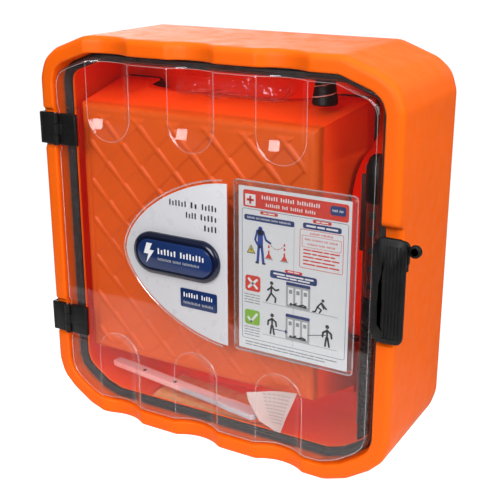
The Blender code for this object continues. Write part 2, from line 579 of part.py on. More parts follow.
def build_contents():
    """Leaflet, straight white sleeve, detector, equipment pouch and the bag above the stool."""
    ledge_top = MID_Z - HEIGHT / 2 + RIM_WIDTH + LEDGE_WIDTH
    leaflet = box((-0.052, -0.0006, 0.0), (0.052, 0.0006, 0.105))
    bmesh.ops.rotate(leaflet, verts=leaflet.verts, cent=(0, 0, 0), matrix=Matrix.Rotation(math.radians(-8), 3, "X"))
    bmesh.ops.translate(leaflet, verts=leaflet.verts, vec=(0.118, FRONT + 0.028, ledge_top - 0.006))
    add_object("leaflet", leaflet, (0.85, 0.78, 0.78), 0.6)

    strip = box((-0.190, -0.014, -0.006), (0.190, 0.014, 0.006), 0.003, 1)
    bmesh.ops.rotate(strip, verts=strip.verts, cent=(0, 0, 0), matrix=Matrix.Rotation(math.radians(-9), 3, "Z"))
    bmesh.ops.translate(strip, verts=strip.verts, vec=(-0.110, FRONT + 0.082, FLOOR_Z + 0.056))
    add_object("splint_strip", strip, (0.82, 0.83, 0.86), 0.4)

    pouch = box((0.240, FRONT + 0.115, CORNER_FLOOR), (0.332, FRONT + 0.225, MID_Z + 0.175), 0.014, 2)
    add_object("equipment_pouch", pouch, (0.030, 0.014, 0.012), 0.8)

    centre_x, centre_y = 0.290, FRONT + 0.078
    tube = cylinder((centre_x, centre_y, MID_Z + 0.045), 0.017, 0.168, sides=16)
    add_object("detector_tube", tube, (0.25, 0.05, 0.03), 0.25)
    cap = round_top(cylinder((centre_x, centre_y, MID_Z + 0.1695), 0.021, 0.080, sides=16), MID_Z + 0.2095)
    add_object("detector_cap", cap, BLACK, 0.45)
    low, high = CORNER_FLOOR, MID_Z - 0.0395
    add_object("detector_handle", cylinder((centre_x, centre_y, (low + high) / 2), 0.019, high - low, sides=16), BLACK, 0.5)

    stool_side = STOOL_Z + STOOL_SIZE / 2 + STOOL_SPREAD * 0.8
    bag = box((-0.115, FRONT + 0.075, stool_side), (0.105, FRONT + 0.165, stool_side + 0.045), 0.012, 2)
    add_object("accessory_bag", bag, (0.75, 0.76, 0.80), 0.15, 0.0, 0.4)
    clamp = cylinder((0.165, FRONT + 0.130, stool_side + 0.0415), 0.012, 0.080, sides=14, radius_end=0.024)
    add_object("earthing_clamp", clamp, BLACK, 0.5)


def round_top(bm, z):
    """Bevel the edges that lie at height z."""
    edges = [e for e in bm.edges if all(abs(v.co.z - z) < 1e-5 for v in e.verts)]
    bmesh.ops.bevel(bm, geom=edges, offset=0.008, segments=2, profile=0.5, affect="EDGES",
                    clamp_overlap=True, material=-1)
    return bm


build_shell()
build_gasket()
build_door()
build_label()
build_pocket()
for hinge_place, hinge_z in zip(("upper", "lower"), HINGE_ZS):
    build_hinge(hinge_place, hinge_z)
build_hinge_nuts()
build_latch()
build_catch()
build_stool()
build_gloves()
build_contents()
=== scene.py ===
"""Looks of an electrical rescue kit cabinet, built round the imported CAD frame.

Every piece is made in the frame's own metres, +Z up, with the front towards -Y. Each
sub-assembly is a class with its sizes as fields; each finish is a frozen dataclass.
"""
import logging
import math
from dataclasses import dataclass, field
from enum import Enum
from functools import lru_cache
from typing import Iterable, Sequence

import bmesh
import bpy
from mathutils import Matrix, Vector, noise


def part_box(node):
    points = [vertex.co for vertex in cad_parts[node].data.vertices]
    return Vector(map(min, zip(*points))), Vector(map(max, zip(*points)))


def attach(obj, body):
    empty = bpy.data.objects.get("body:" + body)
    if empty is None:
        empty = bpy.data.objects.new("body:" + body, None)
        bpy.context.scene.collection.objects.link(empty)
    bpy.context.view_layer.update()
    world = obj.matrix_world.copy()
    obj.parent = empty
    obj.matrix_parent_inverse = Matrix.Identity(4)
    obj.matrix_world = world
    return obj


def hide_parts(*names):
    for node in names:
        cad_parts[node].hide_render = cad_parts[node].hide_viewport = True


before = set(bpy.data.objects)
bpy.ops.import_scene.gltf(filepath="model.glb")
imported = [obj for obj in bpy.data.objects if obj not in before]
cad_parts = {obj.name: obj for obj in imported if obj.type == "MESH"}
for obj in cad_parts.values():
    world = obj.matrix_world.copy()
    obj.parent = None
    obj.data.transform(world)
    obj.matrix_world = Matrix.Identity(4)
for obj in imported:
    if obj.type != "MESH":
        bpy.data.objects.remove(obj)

LOG = logging.getLogger("rescue_kit_cabinet")
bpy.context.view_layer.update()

Mesh = bmesh.types.BMesh
Socket = bpy.types.NodeSocket
Material = bpy.types.Material
Point2 = tuple[float, float]
Colour = tuple[float, float, float]


# ---- the frame's own measures

@dataclass(frozen=True)
class Span:
    """The box of one CAD node."""

    low: Vector
    high: Vector

    @classmethod
    @lru_cache(maxsize=None)
    def of(cls, node: str) -> "Span":
        """Return the box of a node at rest."""
        low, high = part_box(node)
        return cls(Vector(low), Vector(high))

    @property
    def middle(self) -> Vector:
        """Centre of the box."""
        return (self.low + self.high) / 2

    @property
    def size(self) -> Vector:
        """Edge lengths of the box."""
        return self.high - self.low


SHELL = Span.of("cabinet_shell")
DOOR = Span.of("door_panel")
FRONT, BACK = SHELL.low.y, SHELL.high.y
HEIGHT, DEPTH = SHELL.size.z, SHELL.size.y
MID_Z = SHELL.middle.z
WIDTH = 0.720
DOOR_FACE = DOOR.low.y
MM = 0.001


class Body(str, Enum):
    """Bodies of the frame that pieces ride on."""

    CABINET = "cabinet"
    DOOR = "door"
    LEVER = "latch_lever"
    CARD = "instruction_card"


# ---- small geometry tools

def smooth_step(value: float, low: float, high: float) -> float:
    """Return 0 below low, 1 above high and a smooth rise between.

    Args:
        value: the place to read.
        low: where the rise starts.
        high: where it ends.

    Returns:
        A number from 0 to 1.
    """
    t = min(max((value - low) / (high - low), 0.0), 1.0)
    return t * t * (3 - 2 * t)


def inset_polygon(points: Sequence[Point2], distance: float) -> list[Vector]:
    """Move the sides of a convex polygon inwards.

    Args:
        points: corners in order round the polygon.
        distance: how far each side moves in.

    Returns:
        The corners of the smaller polygon.
    """
    count = len(points)
    turn = sum(points[i][0] * points[(i + 1) % count][1] - points[(i + 1) % count][0] * points[i][1]
            for i in range(count))
    side = 1.0 if turn > 0 else -1.0
    lines = []
    for i in range(count):
        start, end = Vector(points[i]), Vector(points[(i + 1) % count])
        along = (end - start).normalized()
        lines.append((start + Vector((-along.y, along.x)) * side * distance, along))
    corners = []
    for i in range(count):
        (p, u), (q, v) = lines[i - 1], lines[i]
        corners.append(p + u * ((q - p).cross(v) / u.cross(v)))
    return corners


@dataclass(frozen=True)
class Outline:
    """A convex outline with round corners, sampled alike at every inset.

    Each ring has the same number of points, so rings at different insets can be joined.
    """

    corners: tuple[Point2, ...]
    radius: float = 0.040
    step: float = 0.005
    arc_steps: int = 5

    def ring(self, inset: float = 0.0) -> list[Vector]:
        """Return the points of the outline moved inwards.

        Args:
            inset: distance from the outermost outline.

        Returns:
            Points in X and Z, with Y at zero.
        """
        polygon = inset_polygon(self.corners, inset)
        count = len(polygon)
        radius = max(self.radius - inset * 0.6, 0.012)
        arcs = []
        for i in range(count):
            before, here, after = polygon[i - 1], polygon[i], polygon[(i + 1) % count]
            arrive, leave = (here - before).normalized(), (after - here).normalized()
            half_turn = arrive.angle(leave) / 2
            reach = min(radius * math.tan(half_turn), (here - before).length * 0.45,
                    (after - here).length * 0.45)
            start, end = here - arrive * reach, here + leave * reach
            arcs.append([start.lerp(here, t).lerp(here.lerp(end, t), t)
                    for t in (k / self.arc_steps for k in range(self.arc_steps + 1))])
        points: list[Vector] = []
        for i, arc in enumerate(arcs):
            points += arc
            sides = self._side_steps(i)
            end = arcs[(i + 1) % count][0]
            points += [arc[-1].lerp(end, k / sides) for k in range(1, sides)]
        return [Vector((p.x, 0.0, p.y)) for p in points]

    def _side_steps(self, index: int) -> int:
        """Return how many steps the side after a corner is cut into."""
        start, end = Vector(self.corners[index]), Vector(self.corners[(index + 1) % len(self.corners)])
        return max(2, round((end - start).length / self.step))


def oblong(centre: Point2, size: Point2, radius: float, steps: int = 6) -> list[Point2]:
    """Return the outline of a rectangle with round corners.

    Args:
        centre: its middle in X and Z.
        size: its width and height.
        radius: its corner radius.
        steps: pieces in each corner.

    Returns:
        Points anticlockwise from the right.
    """
    points = []
    for corner, (sx, sz) in enumerate(((1, 1), (-1, 1), (-1, -1), (1, -1))):
        cx = centre[0] + sx * (size[0] / 2 - radius)
        cz = centre[1] + sz * (size[1] / 2 - radius)
        for k in range(steps + 1):
            angle = math.pi / 2 * (corner + k / steps)
            points.append((cx + radius * math.cos(angle), cz + radius * math.sin(angle)))
    return points


def disc(centre: Point2, radius: float, steps: int = 28) -> list[Point2]:
    """Return a circle as points in X and Z."""
    return [(centre[0] + radius * math.cos(2 * math.pi * k / steps),
            centre[1] + radius * math.sin(2 * math.pi * k / steps)) for k in range(steps)]


def loft(rings: Sequence[Sequence[Vector]], joined: bool = False) -> Mesh:
    """Join rings of equal length into one skin.

    Args:
        rings: closed rings in order along the skin.
        joined: join the last ring to the first, instead of capping both.

    Returns:
        The skin as a bmesh.
    """
    bm = bmesh.new()
    loops = []
    for ring in rings:
        verts = [bm.verts.new(point) for point in ring]
        loops.append([bm.edges.new((verts[i - 1], verts[i])) for i in range(len(verts))])
    pairs = list(zip(loops, loops[1:])) + ([(loops[-1], loops[0])] if joined else [])
    for first, second in pairs:
        bmesh.ops.bridge_loops(bm, edges=first + second)
    if not joined:
        bmesh.ops.contextual_create(bm, geom=loops[0])
        bmesh.ops.contextual_create(bm, geom=loops[-1])
    bmesh.ops.recalc_face_normals(bm, faces=bm.faces)
    return bm


def prism(outline: Sequence[Point2], y_front: float, y_back: float, round_front: float = 0.0,
        segments: int = 3) -> Mesh:
    """Return a flat solid with an outline in X and Z.

    Args:
        outline: its outline.
        y_front: where its front lies.
        y_back: where its back lies.
        round_front: radius of the front edge.
        segments: steps in that radius.

    Returns:
        The closed solid.
    """
    bm = bmesh.new()
    edges = []
    verts = [bm.verts.new((x, y_front, z)) for x, z in outline]
    for i in range(len(verts)):
        edges.append(bm.edges.new((verts[i - 1], verts[i])))
    face = bmesh.ops.contextual_create(bm, geom=edges)["faces"]
    grown = bmesh.ops.extrude_face_region(bm, geom=face)["geom"]
    bmesh.ops.translate(bm, verts=[g for g in grown if isinstance(g, bmesh.types.BMVert)],
            vec=(0, y_back - y_front, 0))
    bmesh.ops.recalc_face_normals(bm, faces=bm.faces)
    if round_front:
        rim = [e for e in bm.edges if all(abs(v.co.y - y_front) < 1e-6 for v in e.verts)]
        bmesh.ops.bevel(bm, geom=rim, offset=round_front, segments=segments, profile=0.5,
                affect="EDGES", clamp_overlap=True, material=-1)
    return bm


def block(low: Sequence[float], high: Sequence[float], radius: float, segments: int = 3) -> Mesh:
    """Return a box between two corners with every edge rounded."""
    bm = bmesh.new()
    low, high = Vector(low), Vector(high)
    bmesh.ops.create_cube(bm, size=1.0, matrix=Matrix.Translation((low + high) / 2)
            @ Matrix.Diagonal((*(high - low), 1.0)))
    bmesh.ops.bevel(bm, geom=bm.edges[:], offset=radius, segments=segments, profile=0.5,
            affect="EDGES", clamp_overlap=True, material=-1)
    return bm


def turned(profile: Sequence[Point2], centre: Sequence[float], axis: str = "Z", steps: int = 40) -> Mesh:
    """Spin a profile of radius and height round an axis.

    Args:
        profile: points as radius and place along the axis.
        centre: where the axis's zero lies.
        axis: X, Y or Z.
        steps: faces round the axis.

    Returns:
        The turned solid.
    """
    bm = bmesh.new()
    verts = [bm.verts.new((radius, 0.0, along)) for radius, along in profile]
    edges = [bm.edges.new(pair) for pair in zip(verts, verts[1:])]
    bmesh.ops.spin(bm, geom=verts + edges, cent=(0, 0, 0), axis=(0, 0, 1), angle=2 * math.pi,
            steps=steps, use_merge=True, use_duplicate=False)
    bmesh.ops.remove_doubles(bm, verts=bm.verts, dist=1e-6)
    turn = {"X": Matrix.Rotation(math.pi / 2, 4, "Y"), "Y": Matrix.Rotation(math.pi / 2, 4, "X"),
            "Z": Matrix.Identity(4)}[axis]
    bmesh.ops.transform(bm, matrix=Matrix.Translation(centre) @ turn, verts=bm.verts)
    bmesh.ops.recalc_face_normals(bm, faces=bm.faces)
    return bm


def rod(radius: float, low: float, high: float, edge: float = 0.0006) -> list[Point2]:
    """Profile of a plain rod with a small chamfer at each end."""
    return [(0.0, low), (radius - edge, low), (radius, low + edge), (radius, high - edge),
            (radius - edge, high), (0.0, high)]


def tube_along(path: Sequence[Vector], radius: float, closed: bool = False, sides: int = 10) -> Mesh:
    """Sweep a round section along points.

    Args:
        path: points along its middle line.
        radius: its radius.
        closed: join its end to its start.
        sides: faces round it.

    Returns:
        The tube, with its ends capped if it is open.
    """
    count = len(path)
    rings = []
    for i, point in enumerate(path):
        before = path[i - 1] if (i > 0 or closed) else path[i]
        after = path[(i + 1) % count] if (i < count - 1 or closed) else path[i]
        along = (after - before).normalized()
        across = along.cross(Vector((0, 1, 0)))
        across = across.normalized() if across.length > 1e-4 else Vector((1, 0, 0))
        up = across.cross(along).normalized()
        rings.append([point + (across * math.cos(a) + up * math.sin(a)) * radius
                for a in (2 * math.pi * k / sides for k in range(sides))])
    return loft(rings, joined=closed)


def merged(*solids: Mesh) -> Mesh:
    """Join several bmeshes into one, keeping them as separate shells."""
    result = bmesh.new()
    for solid in solids:
        mesh = bpy.data.meshes.new("scratch")
        solid.to_mesh(mesh)
        solid.free()
        result.from_mesh(mesh)
        bpy.data.meshes.remove(mesh)
    return result


def upright(outline: Iterable[Point2], y: float) -> list[Vector]:
    """Stand an outline of X and Z up at a depth."""
    return [Vector((x, y, z)) for x, z in outline]


def keep_inside(bm: Mesh, span: Span) -> None:
    """Hold every point of a mesh inside a box."""
    for vert in bm.verts:
        for axis in range(3):
            vert.co[axis] = min(max(vert.co[axis], span.low[axis]), span.high[axis])


def grow_edge(bm: Mesh, border: list[bmesh.types.BMEdge]) -> tuple[list, list]:
    """Extrude a border and return its new edges and its new points."""
    fresh = bmesh.ops.extrude_edge_only(bm, edges=border)["geom"]
    return ([g for g in fresh if isinstance(g, bmesh.types.BMEdge)],
            [g for g in fresh if isinstance(g, bmesh.types.BMVert)])


def face_forwards(bm: Mesh) -> None:
    """Turn an open skin's faces towards the front."""
    bmesh.ops.recalc_face_normals(bm, faces=bm.faces)
    if sum(f.normal.y * f.calc_area() for f in bm.faces) > 0:
        bmesh.ops.reverse_faces(bm, faces=bm.faces)


def crumple(bm: Mesh, depth: float, scale: float, seed: float = 0.0) -> None:
    """Push points along their normals by layered noise.

    Args:
        bm: the mesh.
        depth: greatest move.
        scale: how many folds there are in a metre.
        seed: shifts the noise.
    """
    bm.normal_update()
    moves = []
    for vert in bm.verts:
        place = vert.co * scale + Vector((seed, seed * 1.7, -seed))
        ridge = 1 - abs(noise.noise(place)) * 2
        fine = noise.noise(place * 2.7)
        moves.append(vert.normal * depth * (ridge * 0.7 + fine * 0.5 - 0.35))
    for vert, move in zip(bm.verts, moves):
        vert.co += move


# ---- finishes

class Nodes:
    """Short hand for building a material's nodes."""

    def __init__(self, name: str, world: bool = False) -> None:
        """Start an empty node material called name, or a world."""
        self.owner = bpy.data.worlds.new(name) if world else bpy.data.materials.new(name)
        self.owner.use_nodes = True
        self.tree = self.owner.node_tree
        self.tree.nodes.clear()
        self.output = self.add("ShaderNodeOutputWorld" if world else "ShaderNodeOutputMaterial")
        self.place = self.add("ShaderNodeTexCoord").outputs["Generated" if world else "Object"]

    def add(self, kind: str, **values: object) -> bpy.types.Node:
        """Add a node and set its attributes or input sockets.

        Args:
            kind: the node's type.
            values: attributes by name, or sockets by name with spaces as underscores.

        Returns:
            The new node.
        """
        node = self.tree.nodes.new(kind)
        for key, value in values.items():
            if hasattr(node, key):
                setattr(node, key, value)
            else:
                self.feed(node, key.replace("_", " "), value)
        return node

    def feed(self, node: bpy.types.Node, socket: str | int, value: object) -> None:
        """Link an output to a socket, or set the socket's own value."""
        target = node.inputs[socket]
        if isinstance(value, Socket):
            self.link(value, target)
        else:
            target.default_value = value

    def link(self, source: Socket, target: Socket) -> None:
        """Join an output to an input."""
        self.tree.links.new(source, target)

    def maths(self, operation: str, first: object, second: object, third: object = 0.0) -> Socket:
        """Return the result of a maths node on outputs or numbers."""
        node = self.add("ShaderNodeMath", operation=operation)
        for index, value in enumerate((first, second, third)):
            self.feed(node, index, value)
        return node.outputs[0]

    def mapped(self, value: Socket, source: Point2, target: Point2) -> Socket:
        """Map a value from one range to another, held at both ends."""
        node = self.add("ShaderNodeMapRange", Value=value)
        for socket, number in zip(("From Min", "From Max", "To Min", "To Max"), (*source, *target)):
            self.feed(node, socket, number)
        return node.outputs[0]

    def noise(self, scale: float, detail: float = 3.0, stretch: Sequence[float] = (1, 1, 1)) -> Socket:
        """Return a noise value read from the piece's own place."""
        moved = self.add("ShaderNodeMapping", Vector=self.place, Scale=tuple(stretch))
        return self.add("ShaderNodeTexNoise", Vector=moved.outputs[0], Scale=scale,
                Detail=detail).outputs["Fac"]

    def between(self, factor: Socket, low: float, high: float) -> Socket:
        """Map a noise value, mostly 0.3 to 0.7, to a range."""
        return self.mapped(factor, (0.3, 0.7), (low, high))

    def blend(self, factor: Socket, first: Colour, second: Colour) -> Socket:
        """Blend two colours by a noise value."""
        ramp = self.add("ShaderNodeValToRGB")
        self.feed(ramp, "Fac", factor)
        for stop, position, colour in zip(ramp.color_ramp.elements, (0.32, 0.68), (first, second)):
            stop.position, stop.color = position, (*colour, 1)
        return ramp.outputs["Color"]

    def bump(self, height: Socket, distance: float, strength: float = 1.0,
            under: Socket | None = None) -> Socket:
        """Return a normal bent by a height, over another normal if one is given."""
        node = self.add("ShaderNodeBump", Strength=strength, Distance=distance)
        self.feed(node, "Height", height)
        if under is not None:
            self.feed(node, "Normal", under)
        return node.outputs["Normal"]

    def finish(self, shader: bpy.types.Node) -> Material:
        """Join the shader to the output and return the material or world."""
        self.link(shader.outputs[0], self.output.inputs["Surface"])
        return self.owner


@dataclass(frozen=True)
class MouldedPlastic:
    """Moulded or extruded plastic with a fine grain and slight colour drift."""

    name: str
    colour: Colour
    drift: float = 0.08
    roughness: float = 0.42
    grain_scale: float = 900.0
    grain_depth: float = 0.00008
    scuff: float = 0.08
    specular: float = 0.4
    coat: float = 0.0
    sheen: float = 0.0
    coat_roughness: float = 0.12

    def build(self) -> Material:
        """Return the finish as a material."""
        nodes = Nodes(self.name)
        darker = tuple(c * (1 - self.drift) for c in self.colour)
        lighter = tuple(min(c * (1 + self.drift), 1.0) for c in self.colour)
        colour = nodes.blend(nodes.noise(9.0, 4.0), darker, lighter)
        rough = nodes.between(nodes.noise(34.0, 6.0), self.roughness - self.scuff,
                self.roughness + self.scuff)
        waves = nodes.bump(nodes.noise(22.0, 2.0), 0.0009, 0.35)
        grain = nodes.bump(nodes.noise(self.grain_scale, 2.0), self.grain_depth, 0.8, waves)
        return nodes.finish(nodes.add(
            "ShaderNodeBsdfPrincipled", Base_Color=colour, Roughness=rough, Normal=grain,
            Specular_IOR_Level=self.specular, Coat_Weight=self.coat, Coat_Roughness=self.coat_roughness,
            Sheen_Weight=self.sheen))


@dataclass(frozen=True)
class ClearPlastic:
    """Clear sheet or film: see-through, glossier at a grazing angle, with a faint haze."""

    name: str
    tint: Colour = (0.97, 0.97, 0.97)
    facing: float = 0.06
    mirror: float = 0.6
    haze_drift: float = 0.02
    gloss_roughness: float = 0.03
    wave_scale: float = 6.0
    wave_depth: float = 0.0008
    crease_scale: float = 0.0
    crease_depth: float = 0.0
    grazing_power: float = 4.0

    def build(self) -> Material:
        """Return the finish as a material."""
        nodes = Nodes(self.name)
        normal = nodes.bump(nodes.noise(self.wave_scale, 2.0), self.wave_depth, 0.6)
        if self.crease_scale:
            cells = nodes.add("ShaderNodeTexVoronoi", feature="DISTANCE_TO_EDGE",
                    Vector=nodes.place, Scale=self.crease_scale)
            normal = nodes.bump(cells.outputs["Distance"], self.crease_depth, 1.0, normal)
        clear = nodes.add("ShaderNodeBsdfTransparent", Color=(*self.tint, 1))
        gloss = nodes.add("ShaderNodeBsdfPrincipled", Base_Color=(0.93, 0.93, 0.95, 1),
                Roughness=self.gloss_roughness, Metallic=self.mirror, Normal=normal)
        weight = nodes.add("ShaderNodeLayerWeight", Blend=0.5, Normal=normal)
        grazing = nodes.maths("POWER", weight.outputs["Facing"], self.grazing_power)
        base = nodes.between(nodes.noise(5.0, 5.0), self.facing - self.haze_drift,
                self.facing + self.haze_drift)
        mix = nodes.add("ShaderNodeMixShader", Fac=nodes.maths("MAXIMUM", grazing, base))
        nodes.link(clear.outputs[0], mix.inputs[1])
        nodes.link(gloss.outputs[0], mix.inputs[2])
        return nodes.finish(mix)


@dataclass(frozen=True)
class Rubber:
    """Soft black or coloured rubber with a dull, slightly dusty surface."""

    name: str
    colour: Colour
    dust: Colour = (0.05, 0.05, 0.05)
    roughness: float = 0.62
    translucency: float = 0.0

    def build(self) -> Material:
        """Return the finish as a material."""
        nodes = Nodes(self.name)
        colour = nodes.blend(nodes.noise(55.0, 6.0), self.colour, self.dust)
        rough = nodes.between(nodes.noise(80.0, 4.0), self.roughness - 0.1, self.roughness + 0.12)
        grain = nodes.bump(nodes.noise(420.0, 3.0), 0.00015, 0.7)
        return nodes.finish(nodes.add(
            "ShaderNodeBsdfPrincipled", Base_Color=colour, Roughness=rough, Normal=grain,
            Subsurface_Weight=self.translucency, Subsurface_Radius=(0.01, 0.005, 0.002)))


@dataclass(frozen=True)
class Metal:
    """Plated steel with fine streaks."""

    name: str
    colour: Colour = (0.62, 0.62, 0.64)
    roughness: float = 0.28

    def build(self) -> Material:
        """Return the finish as a material."""
        nodes = Nodes(self.name)
        streaks = nodes.noise(120.0, 4.0, (1, 1, 14))
        rough = nodes.between(streaks, self.roughness - 0.08, self.roughness + 0.12)
        colour = nodes.blend(nodes.noise(60.0, 3.0), tuple(c * 0.85 for c in self.colour), self.colour)
        return nodes.finish(nodes.add("ShaderNodeBsdfPrincipled", Base_Color=colour, Roughness=rough,
                Normal=nodes.bump(streaks, 0.00004, 0.5), Metallic=1.0))


@dataclass(frozen=True)
class Print:
    """Ink or coated card: an even colour with a faint mottle, under a satin film."""

    name: str
    colour: Colour
    mottle: float = 0.04
    roughness: float = 0.35

    def build(self) -> Material:
        """Return the finish as a material."""
        nodes = Nodes(self.name)
        darker = tuple(c * (1 - self.mottle) for c in self.colour)
        colour = nodes.blend(nodes.noise(40.0, 5.0), darker, self.colour)
        rough = nodes.between(nodes.noise(60.0, 3.0), self.roughness - 0.05, self.roughness + 0.07)
        grain = nodes.bump(nodes.noise(700.0, 2.0), 0.00003, 0.4)
        return nodes.finish(nodes.add("ShaderNodeBsdfPrincipled", Base_Color=colour, Roughness=rough,
                Normal=grain, Coat_Weight=0.2))


@dataclass(frozen=True)
class WovenNylon:
    """Coated pack cloth: a fine square weave with a soft sheen."""

    name: str
    colour: Colour
    thread: float = 900.0

    def build(self) -> Material:
        """Return the finish as a material."""
        nodes = Nodes(self.name)
        heights = []
        for direction in ("X", "Z"):
            wave = nodes.add("ShaderNodeTexWave", bands_direction=direction, Vector=nodes.place,
                    Scale=self.thread / 2 / math.pi)
            heights.append(wave.outputs["Fac"])
        weave = nodes.maths("MULTIPLY", *heights)
        colour = nodes.blend(nodes.noise(14.0, 5.0), tuple(c * 0.7 for c in self.colour), self.colour)
        folds = nodes.bump(nodes.noise(16.0, 4.0), 0.004, 0.6)
        return nodes.finish(nodes.add(
            "ShaderNodeBsdfPrincipled", Base_Color=colour, Normal=nodes.bump(weave, 0.0003, 0.8, folds),
            Roughness=nodes.between(nodes.noise(30.0), 0.55, 0.75), Sheen_Weight=0.3))


class Finish:
    """Every finish of the cabinet, each built once."""

    shell = MouldedPlastic("shell_orange", (0.96, 0.135, 0.003), 0.03, 0.42, specular=0.12).build()
    stool = MouldedPlastic("stool_orange", (0.95, 0.128, 0.012), 0.04, 0.44, specular=0.2).build()
    black = MouldedPlastic("black_moulding", (0.006, 0.006, 0.006), 0.2, 0.44, 700.0, 0.00014, 0.1,
            0.22).build()
    rubber = Rubber("black_rubber", (0.010, 0.010, 0.011), (0.028, 0.027, 0.027)).build()
    latex = Rubber("natural_latex", (0.66, 0.36, 0.11), (0.78, 0.50, 0.22), 0.5, 0.25).build()
    sheet = ClearPlastic("clear_sheet", facing=0.026, mirror=0.92, haze_drift=0.005).build()
    pocket = ClearPlastic("clear_pocket", facing=0.04, haze_drift=0.01, gloss_roughness=0.06).build()
    film = ClearPlastic("clear_film", facing=0.05, mirror=0.8, haze_drift=0.045, gloss_roughness=0.10,
            wave_scale=60.0, wave_depth=0.004, crease_scale=34.0, crease_depth=0.006).build()
    # Hazy whitish clear finish for thin tubes along edges: a painted highlight on the door's grooves and
    # edge, the pocket's weld and the label's bead.
    highlight_bead = ClearPlastic("clear_edge_highlight", facing=0.30, mirror=0.4, haze_drift=0.1, gloss_roughness=0.08).build()
    steel = Metal("plated_steel").build()
    plate = Print("label_grey", (0.66, 0.66, 0.69), 0.02, 0.30).build()
    card = Print("card_white", (0.80, 0.81, 0.83), 0.02, 0.32).build()
    paper = Print("folded_paper", (0.86, 0.66, 0.62), 0.06, 0.6).build()
    white = MouldedPlastic("white_plastic", (0.72, 0.73, 0.78), 0.05, 0.35).build()
    navy = MouldedPlastic("navy_gloss", (0.010, 0.030, 0.125), 0.1, 0.2, 500.0, 0.00003, 0.04, 0.3,
            0.15).build()
    rim = MouldedPlastic("badge_rim", (0.004, 0.007, 0.026), 0.2, 0.2, 500.0, 0.00003, 0.04, 0.3,
            0.3).build()
    pouch = WovenNylon("pouch_cloth", (0.028, 0.012, 0.011)).build()
    detector = MouldedPlastic("detector_tube", (0.16, 0.030, 0.022), 0.15, 0.2, coat=0.4).build()
    red_rivet = MouldedPlastic("rivet_red", (0.50, 0.07, 0.04), 0.1, 0.3).build()


class Ink(Enum):
    """Inks of the printed pieces."""

    RED = (0.72, 0.045, 0.022)
    NAVY = (0.018, 0.040, 0.180)
    BLUE = (0.020, 0.065, 0.360)
    GREEN = (0.260, 0.520, 0.040)
    GREY = (0.30, 0.31, 0.33)
    STEEL = (0.42, 0.43, 0.44)
    DARK = (0.035, 0.038, 0.050)
    WHITE = (0.86, 0.86, 0.87)
    YELLOW = (0.75, 0.60, 0.08)


INKS = {ink: Print(f"ink_{ink.name.lower()}", ink.value).build() for ink in Ink}


def add_piece(name: str, bm: Mesh, material: Material, body: Body,
        replaces: Iterable[str] = (), sharp: float = 35.0,
        smooth: bool = True) -> bpy.types.Object:
    """Turn a bmesh into a finished piece of the object.

    Args:
        name: the piece's name.
        bm: its mesh, freed here.
        material: its finish.
        body: the body that it rides on.
        replaces: CAD nodes that it stands for.
        sharp: angle in degrees past which an edge stays crisp.
        smooth: whether its faces are shaded smooth.

    Returns:
        The object.
    """
    mesh = bpy.data.meshes.new(name)
    bm.to_mesh(mesh)
    bm.free()
    if smooth:
        mesh.shade_smooth()
        mesh.set_sharp_from_angle(angle=math.radians(sharp))
    mesh.materials.append(material)
    item = bpy.data.objects.new(name, mesh)
    bpy.context.scene.collection.objects.link(item)
    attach(item, body.value)
    names = list(replaces)
    if names:
        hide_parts(*names)
    LOG.info("%s: %d faces on %s", name, len(mesh.polygons), body.value)
    return item


# ---- cabinet

TOP_CORNER = ((0.255, 0.375), (0.322, 0.350), (0.349, 0.329), (0.360, 0.295))
BOTTOM_CORNER = ((0.360, -0.275), (0.350, -0.308), (0.325, -0.333), (0.284, -0.360), (0.240, -0.375))


def cabinet_corners(shift: Point2 = (0.0, 0.0), inset: float = 0.0) -> tuple[Point2, ...]:
    """Corners of the cabinet's outline, moved in and shifted."""
    right = TOP_CORNER + BOTTOM_CORNER
    left = tuple((-x, z) for x, z in reversed(right))
    moved = inset_polygon(right + left, inset)
    return tuple((p.x + shift[0], p.y + MID_Z + shift[1]) for p in moved)


@dataclass(frozen=True)
class Flutes:
    """The upright round-ended grooves at the top and bottom of the front."""

    centres: tuple[float, ...] = (-0.204, -0.027, 0.149)
    width: float = 0.095
    depth: float = 0.017
    end: float = 0.188
    soften: float = 0.0012

    @property
    def radius(self) -> float:
        """Radius of the groove's round section."""
        return (self.width ** 2 / 4 + self.depth ** 2) / (2 * self.depth)

    def relief(self, x: float, z: float) -> float:
        """Return how deep the front is pressed in at a place.

        Args:
            x: place across the cabinet.
            z: height.

        Returns:
            Depth in metres, 0 away from the grooves.
        """
        height = abs(z - MID_Z)
        end_centre = self.end + self.width / 2
        deepest = 0.0
        for centre in self.centres:
            off = math.hypot(x - centre, min(height - end_centre, 0.0))
            if off < self.radius * 0.95:
                cut = math.sqrt(self.radius ** 2 - off ** 2) - (self.radius - self.depth)
                deepest = max(deepest, (cut + math.sqrt(cut * cut + self.soften ** 2)) / 2)
        return deepest


